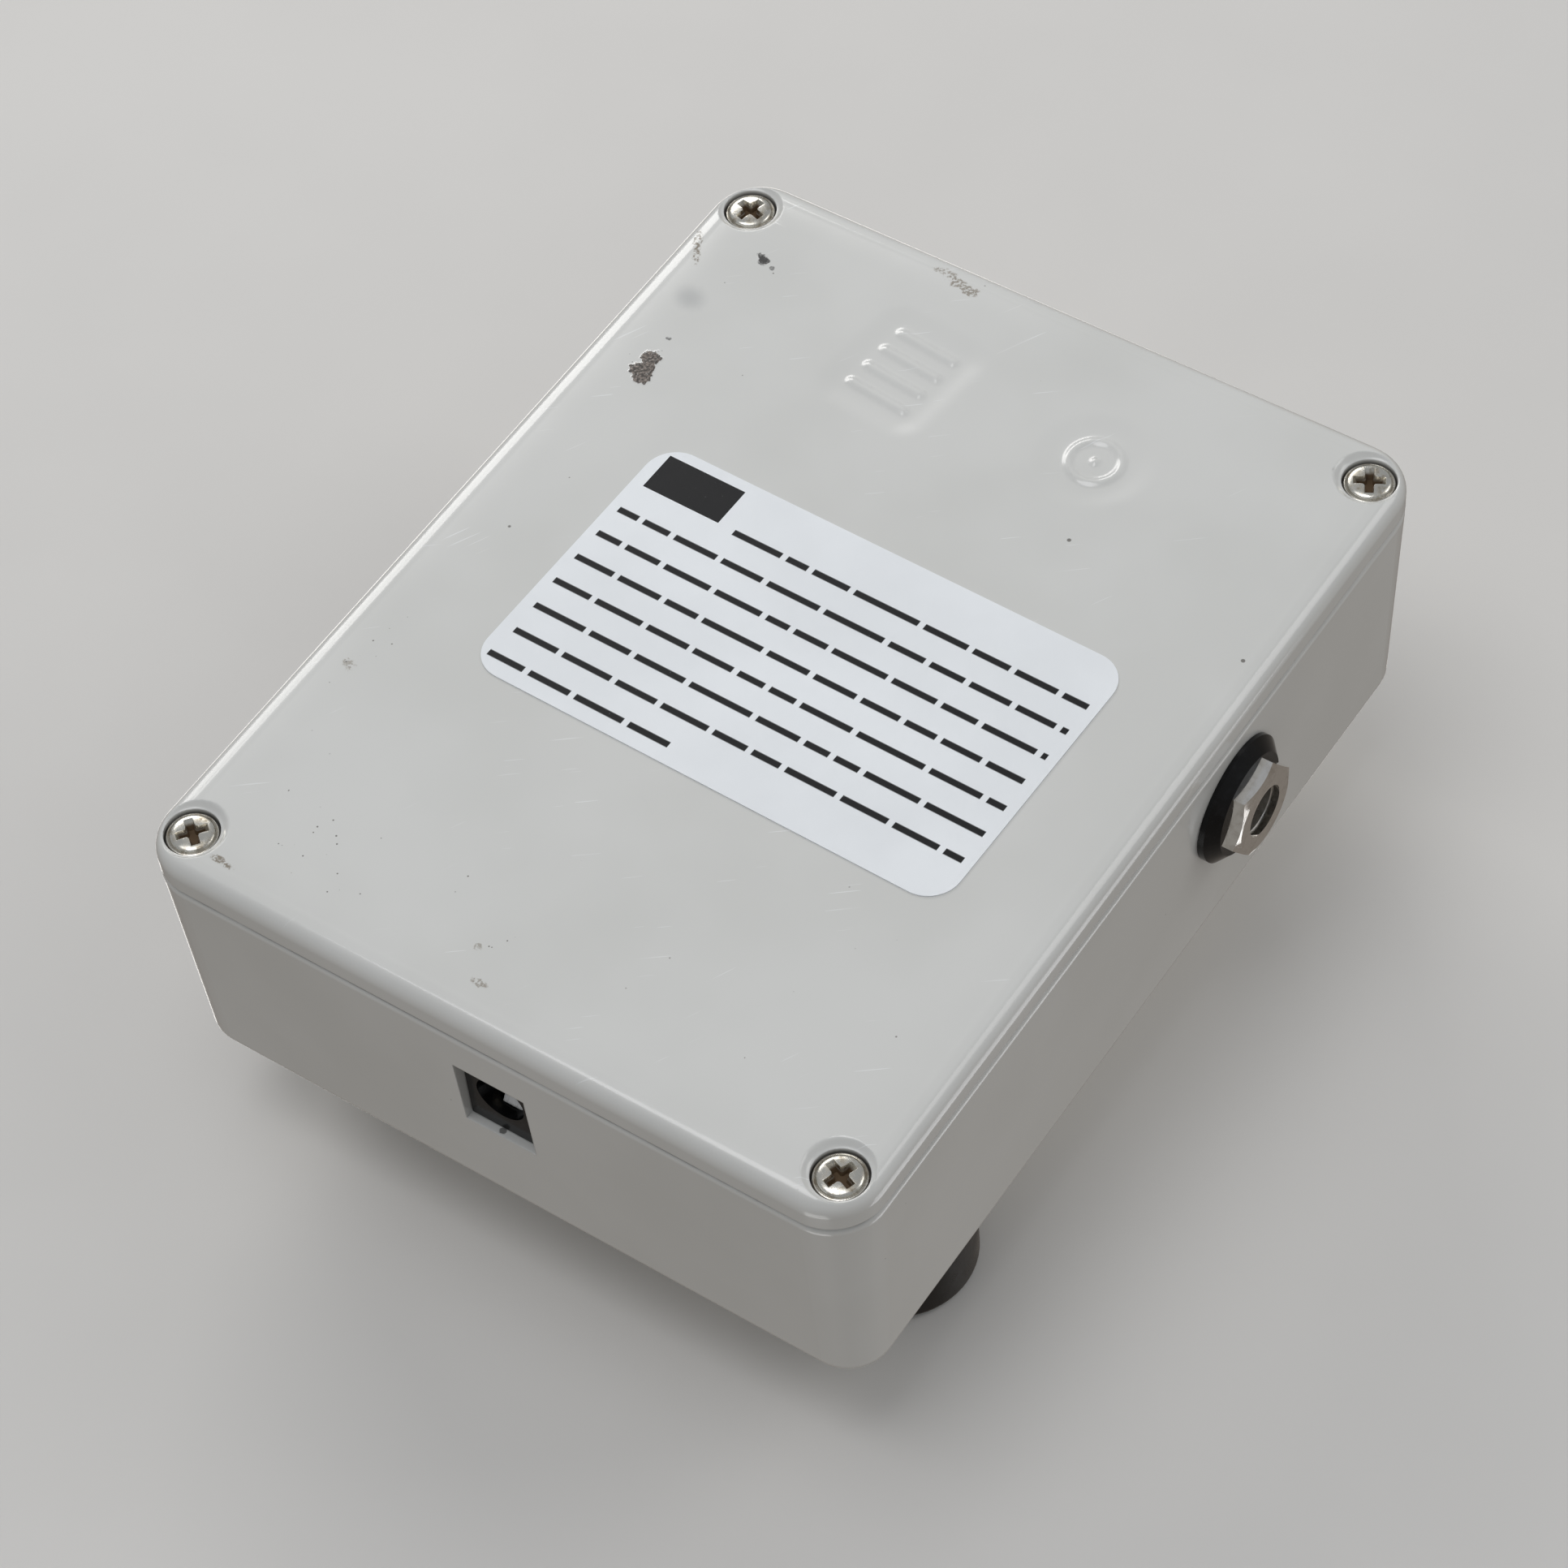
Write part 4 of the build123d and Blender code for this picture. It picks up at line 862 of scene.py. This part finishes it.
# how far a lump of dried dirt stands up, grainy and ragged at its edge
def crustHeight(x, y):
    left, right, front, back = cover["crustBox"]
    if not (left < x < right and front < y < back):
        return 0.0
    rough = mathutils.noise.fractal(Vector((x * 1.6, y * 1.6, 3.0)), 0.8, 2.1, 4)
    height = 0.0
    for (lumpX, lumpY), radius in cover["crust"]:
        far = ((x - lumpX) ** 2 + (y - lumpY) ** 2) ** 0.5 / radius + 0.28 * rough
        height = max(height, easeBand(1.0 - far, 0.0, 0.30))
    grain = 0.75 + 0.25 * mathutils.noise.noise(Vector((x * 5.0, y * 5.0, 7.0)))
    return cover["crustHeight"] * height * grain


# the cover's outline from the joint over the edge to the flat, as inset and height
def coverProfile():
    c = cover
    steps = [(0.0, c["joint"] - c["gap"] - c["rimRound"])]
    top = c["face"] + c["crownDrop"]
    for i in range(11):
        angle = radians(i * c["roundEnd"] / 10)
        steps.append((c["edgeRound"] * (1 - cos(angle)), top + c["edgeRound"] * (1 - sin(angle))))
    start = steps[-1]
    for i in range(1, 21):
        t = i / 20
        bead = c["bead"] * (1 - min(abs(t - 0.14) / 0.14, 1) ** 2) ** 2
        steps.append((start[0] + t * c["crownWidth"],
                      c["face"] + (start[1] - c["face"]) * (1 - t) ** 2 - bead))
    return steps


def makeCover():
    c = cover
    clearSelection()
    height = c["joint"] - c["gap"] - c["rimRound"] - c["face"]
    bpy.ops.mesh.primitive_cube_add(size=1, location=(0, 0, (c["face"] + height / 2) * mm),
                                    scale=(c["width"] * mm, c["length"] * mm, height * mm))
    item = bpy.context.object
    item.name = "castCover"
    placeInMesh(item)
    pick("EDGE", lambda a, b: abs(a.z - b.z) > mm)
    bpy.ops.mesh.bevel(offset=c["corner"] * mm, segments=16, affect="EDGES")
    # the face goes in and down, a step at a time, from the side to the flat
    low = c["face"] * mm
    pick("FACE", lambda face: face.normal.z < -0.9)
    profile = coverProfile()
    bpy.ops.transform.translate(value=(0, 0, (profile[1][1] - c["face"]) * mm))
    for before, after in zip(profile[1:], profile[2:]):
        bpy.ops.mesh.inset(thickness=(after[0] - before[0]) * mm)
        bpy.ops.transform.translate(value=(0, 0, (after[1] - before[1]) * mm))
    # the inner side: a rounded rim, then the lip
    pick("FACE", lambda face: face.normal.z > 0.9)
    for i in range(4):
        a, b = radians(i * 22.5), radians((i + 1) * 22.5)
        bpy.ops.mesh.inset(thickness=c["rimRound"] * (cos(a) - cos(b)) * mm)
        bpy.ops.transform.translate(value=(0, 0, c["rimRound"] * (sin(b) - sin(a)) * mm))
    bpy.ops.mesh.inset(thickness=c["gapDepth"] * mm)
    bpy.ops.mesh.inset(thickness=0.05 * mm)
    bpy.ops.transform.translate(value=(0, 0, c["gap"] * mm))
    bpy.ops.mesh.inset(thickness=(c["lipInset"] - c["rimRound"] - c["gapDepth"] - 0.05) * mm)
    bpy.ops.mesh.inset(thickness=c["lipWall"] * mm)
    bpy.ops.object.mode_set(mode="OBJECT")
    inner = max(item.data.polygons, key=lambda face: face.area * (face.normal.z > 0.9))
    innermost = inner.index
    pick("FACE", lambda face: face.normal.z > 0.9 and face.index != innermost and coverLipFace(item, face))
    bpy.ops.mesh.extrude_region_move(TRANSFORM_OT_translate={"value": (0, 0, c["lipHeight"] * mm)})
    bpy.ops.object.mode_set(mode="OBJECT")
    finePads(item, low)
    cutWells(item)
    smooth(item, 34)
    applyModifier(item, "WEIGHTED_NORMAL", mode="FACE_AREA", weight=70, keep_sharp=True)
    return item


# true for the ring of faces that the lip rises from
def coverLipFace(item, face):
    c = cover
    for i in face.vertices:
        point = item.data.vertices[i].co
        if abs(point.x) > (c["width"] / 2 - c["lipInset"] + 0.02) * mm:
            return False
        if abs(point.y) > (c["length"] / 2 - c["lipInset"] + 0.02) * mm:
            return False
    return True


# splits the flat round the pads, divides it finely there, and presses the pads in
def finePads(item, low):
    left, right, front, back = cover["crustBox"]
    lines = [(left, 0), (right, 0), (-24.0, 0), (0.5, 0), (5.0, 0), (24.0, 0),
             (-53.0, 1), (front, 1), (back, 1)]
    for at, axis in lines:
        pick("FACE", lambda face: face.normal.z < -0.999 and face.center.z < low + 0.01 * mm)
        place, direction = [0, 0, 0], [0, 0, 0]
        place[axis], direction[axis] = at * mm, 1
        bpy.ops.mesh.bisect(plane_co=place, plane_no=direction)
    for left, right, front, back in (cover["crustBox"], (-24.0, 0.5, -53.0, -30.6),
                                     (5.0, 24.0, -53.0, -30.6)):
        pick("FACE", lambda face: face.normal.z < -0.999 and face.center.z < low + 0.01 * mm
             and left * mm < face.center.x < right * mm and front * mm < face.center.y < back * mm)
        bpy.ops.mesh.subdivide(number_cuts=cover["padCells"])
    bpy.ops.object.mode_set(mode="OBJECT")
    for point in item.data.vertices:
        x, y = point.co.x / mm, point.co.y / mm
        if abs(point.co.z - low) < 0.001 * mm and y < -22.0:
            point.co.z += (padDepth(x, y) - crustHeight(x, y)) * mm


def cutWells(item):
    c = cover
    lip, radius, face = c["wellLip"], c["wellRadius"], c["face"]
    section = [(0, face - 2), (radius + lip, face - 2), (radius + lip, face)]
    for i in range(1, 11):
        t = i / 10
        section.append((radius + lip * (1 - t), face + c["wellLipDrop"] * easeBand(t, 0, 1)))
    section += [(radius, c["wellFloor"]), (c["shankHole"], c["wellFloor"]),
                (c["shankHole"], c["joint"] + c["lipHeight"] + 2),
                (0, c["joint"] + c["lipHeight"] + 2)]
    post = [(0, c["joint"]), (c["postClearance"], c["joint"]),
            (c["postClearance"], c["joint"] + c["lipHeight"] + 1),
            (0, c["joint"] + c["lipHeight"] + 1)]
    for x in (-42.45, 42.45):
        for y in (-54.45, 54.45):
            for shape in (section, post):
                cutter = spinSection("cutter", shape, 72)
                cutter.location = (x * mm, y * mm, 0)
                placeInMesh(cutter)
                cutOut(item, cutter)


castCover = makeCover()
finishPiece(castCover, enamelCoat, "chassis", "enamel", "base_cover")
print("cover made:", len(castCover.data.polygons), "faces")


# Cover screws: domed nickel heads with a worn cross, each turned its own way

screw = {
    "places": [(-42.45, -54.45, 14), (42.45, -54.45, 62), (-42.45, 54.45, 38), (42.45, 54.45, 20)],
    "top": 0.75,
    "radius": 3.0,
    "dome": 0.55,
    "headHeight": 1.9,
    "shankRadius": 1.48,
    "shankLength": 9.8,
    "crossReach": 1.9,
    "crossWidth": 1.08,
    "crossDepth": 1.35,
    "crossTaper": 0.62,
    "crossRound": 0.36,
    "wornEdge": 0.14,
    "rimGroove": 0.16,
}


# the cross as a tapered cutter that points up into the head
def crossCutter():
    s = screw
    clearSelection()
    bpy.ops.mesh.primitive_cube_add(size=1, location=(0, 0, (s["top"] - 0.4) * mm),
                                    scale=(s["crossWidth"] * mm, s["crossWidth"] * mm, 0.8 * mm))
    item = bpy.context.object
    placeInMesh(item)
    arm = (s["crossReach"] - s["crossWidth"] / 2) * mm
    for axis in (Vector((1, 0, 0)), Vector((-1, 0, 0)), Vector((0, 1, 0)), Vector((0, -1, 0))):
        side = axis * s["crossWidth"] * mm / 2 + Vector((0, 0, (s["top"] - 0.4) * mm))
        pick("FACE", lambda face: face.normal.dot(axis) > 0.9 and (face.center - side).length < 0.01 * mm)
        bpy.ops.mesh.extrude_region_move(TRANSFORM_OT_translate={"value": axis * arm})
    # inner corners are rounded, then the whole cross is drawn up to its tip
    pick("EDGE", lambda a, b: abs(a.z - b.z) > 0.1 * mm and abs(a.x) < 0.6 * s["crossWidth"] * mm
         and abs(a.y) < 0.6 * s["crossWidth"] * mm)
    bpy.ops.mesh.bevel(offset=s["crossRound"] * mm, segments=5, affect="EDGES")
    pick("FACE", lambda face: face.normal.z > 0.9)
    bpy.ops.mesh.extrude_region_move(TRANSFORM_OT_translate={"value": (0, 0, s["crossDepth"] * mm)})
    bpy.ops.transform.resize(value=(s["crossTaper"], s["crossTaper"], 1), center_override=(0, 0, 0))
    bpy.ops.object.mode_set(mode="OBJECT")
    faceOut(item)
    return item


def makeScrew():
    s = screw
    section = [(0, s["top"])]
    for i in range(1, 9):
        t = i / 8
        section.append((s["radius"] * sin(t * pi / 2) * 0.86,
                        s["top"] + s["dome"] * (1 - cos(t * pi / 2)) ** 1.6 * 0.8))
    groove = section[-1][1] + s["rimGroove"]
    section += [(s["radius"] * 0.90, groove), (s["radius"] * 0.93, groove - 0.10),
                (s["radius"] * 0.97, groove - 0.06)]
    low = s["top"] + s["headHeight"]
    section += [(s["radius"], s["top"] + s["dome"] + 0.18), (s["radius"], low), (s["shankRadius"], low)]
    depth = low
    while depth < low + s["shankLength"] - 0.6:
        section += [(s["shankRadius"], depth + 0.12), (s["shankRadius"] - 0.20, depth + 0.30)]
        depth += 0.5
    section += [(s["shankRadius"] - 0.4, low + s["shankLength"]), (0, low + s["shankLength"])]
    item = spinSection("coverScrew", section, 72)
    cutOut(item, crossCutter())
    applyModifier(item, "BEVEL", width=s["wornEdge"] * mm, segments=3, limit_method="ANGLE",
                  angle_limit=radians(40))
    smooth(item, 50)
    return item


def placeScrews():
    first = makeScrew()
    for count, (x, y, turn) in enumerate(screw["places"]):
        item = first if count == 0 else first.copy()
        if count:
            item.data = firstMesh.copy()
            bpy.context.collection.objects.link(item)
        else:
            firstMesh = first.data.copy()
        item.name = "coverScrew" + str(count + 1)
        item.location = (x * mm, y * mm, 0)
        item.rotation_euler = (0, 0, radians(turn))
        placeInMesh(item)
        finishPiece(item, screwSteel, "chassis", "screw_steel", "cover_screws")


placeScrews()
print("cover screws made")


# Spring leaf of the power socket, bent up into the bore, where it catches the light

leaf = {
    "width": 3.3,
    "thickness": 0.28,
    "x": 0.45,
    "edge": 0.08,
    # distance behind the socket's face, distance above the pin's axis
    "run": [(1.55, 2.80), (1.75, 2.45), (2.75, 1.50), (3.1, 1.36), (3.6, 1.38), (6.0, 2.0), (9.6, 2.95)],
}


def makeLeaf():
    clearSelection()
    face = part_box("power_jack_body")[1][1]
    axis = (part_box("power_jack_pin")[0][2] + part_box("power_jack_pin")[1][2]) / 2
    back, drop = leaf["run"][0]
    bpy.ops.mesh.primitive_cube_add(size=1, location=(leaf["x"] * mm, face - back * mm, axis + drop * mm),
                                    scale=(leaf["width"] * mm, 0.1 * mm, leaf["thickness"] * mm))
    item = bpy.context.object
    item.name = "socketLeaf"
    placeInMesh(item)
    pick("FACE", lambda side: side.normal.y < -0.9)
    for before, after in zip(leaf["run"], leaf["run"][1:]):
        step = Vector((0, (before[0] - after[0]) * mm, (after[1] - before[1]) * mm))
        bpy.ops.mesh.extrude_region_move(TRANSFORM_OT_translate={"value": step})
    faceOut(item)
    applyModifier(item, "BEVEL", width=leaf["edge"] * mm, segments=3, limit_method="ANGLE",
                  angle_limit=radians(50))
    smooth(item, 40)
    return item


finishPiece(makeLeaf(), finishes["leafSilver"], "chassis", "contact_metal", "power_jack_leaf")
print("socket leaf made")


# Threads that show above the nuts

threads = {
    "pitch": 0.75,
    "depth": 0.32,
    "footswitch": {"radius": 6.35, "low": 39.05, "high": 42.7, "places": [(0.0, -40.0)]},
    "toggle": {"radius": 3.25, "low": 37.75, "high": 40.8, "places": [(-16.0, 4.0), (16.0, 4.0)]},
}


def makeThread(name, radius, low, high, x, y):
    section = [(radius - threads["depth"] - 0.08, low), (radius - 0.1, low + 0.1)]
    height = low + 0.1
    while height + threads["pitch"] < high:
        section += [(radius, height + 0.1), (radius, height + 0.22),
                    (radius - threads["depth"] + 0.02, height + 0.44),
                    (radius - threads["depth"] + 0.02, height + 0.52)]
        height += threads["pitch"]
    section += [(radius - threads["depth"] - 0.08, high), section[0]]
    item = spinSection(name, section, 64)
    item.location = (x * mm, y * mm, 0)
    faceOut(item)
    smooth(item, 25)
    return item


for kind in ("footswitch", "toggle"):
    size = threads[kind]
    for count, (x, y) in enumerate(size["places"]):
        thread = makeThread(kind + "Thread" + str(count + 1), size["radius"], size["low"], size["high"], x,
                            y)
        finishPiece(thread, brightNickel, "chassis", "nickel")
print("threads made")


# Return spring of the footswitch, a smoothed copy of its mesh; the real spring shortens as the plunger goes
# down

def makeSpring():
    clearSelection()
    item = bpy.data.objects.new("returnSpring", nodes["footswitch_spring"].data.copy())
    bpy.context.collection.objects.link(item)
    bpy.context.view_layer.objects.active = item
    item.select_set(True)
    pick("FACE", lambda face: True)
    bpy.ops.mesh.remove_doubles(threshold=0.001 * mm)
    bpy.ops.object.mode_set(mode="OBJECT")
    smooth(item, 40)
    return item


returnSpring = makeSpring()
finishPiece(returnSpring, contactMetal, "chassis", "zinc", "footswitch_spring")
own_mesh(returnSpring)
print("return spring made")
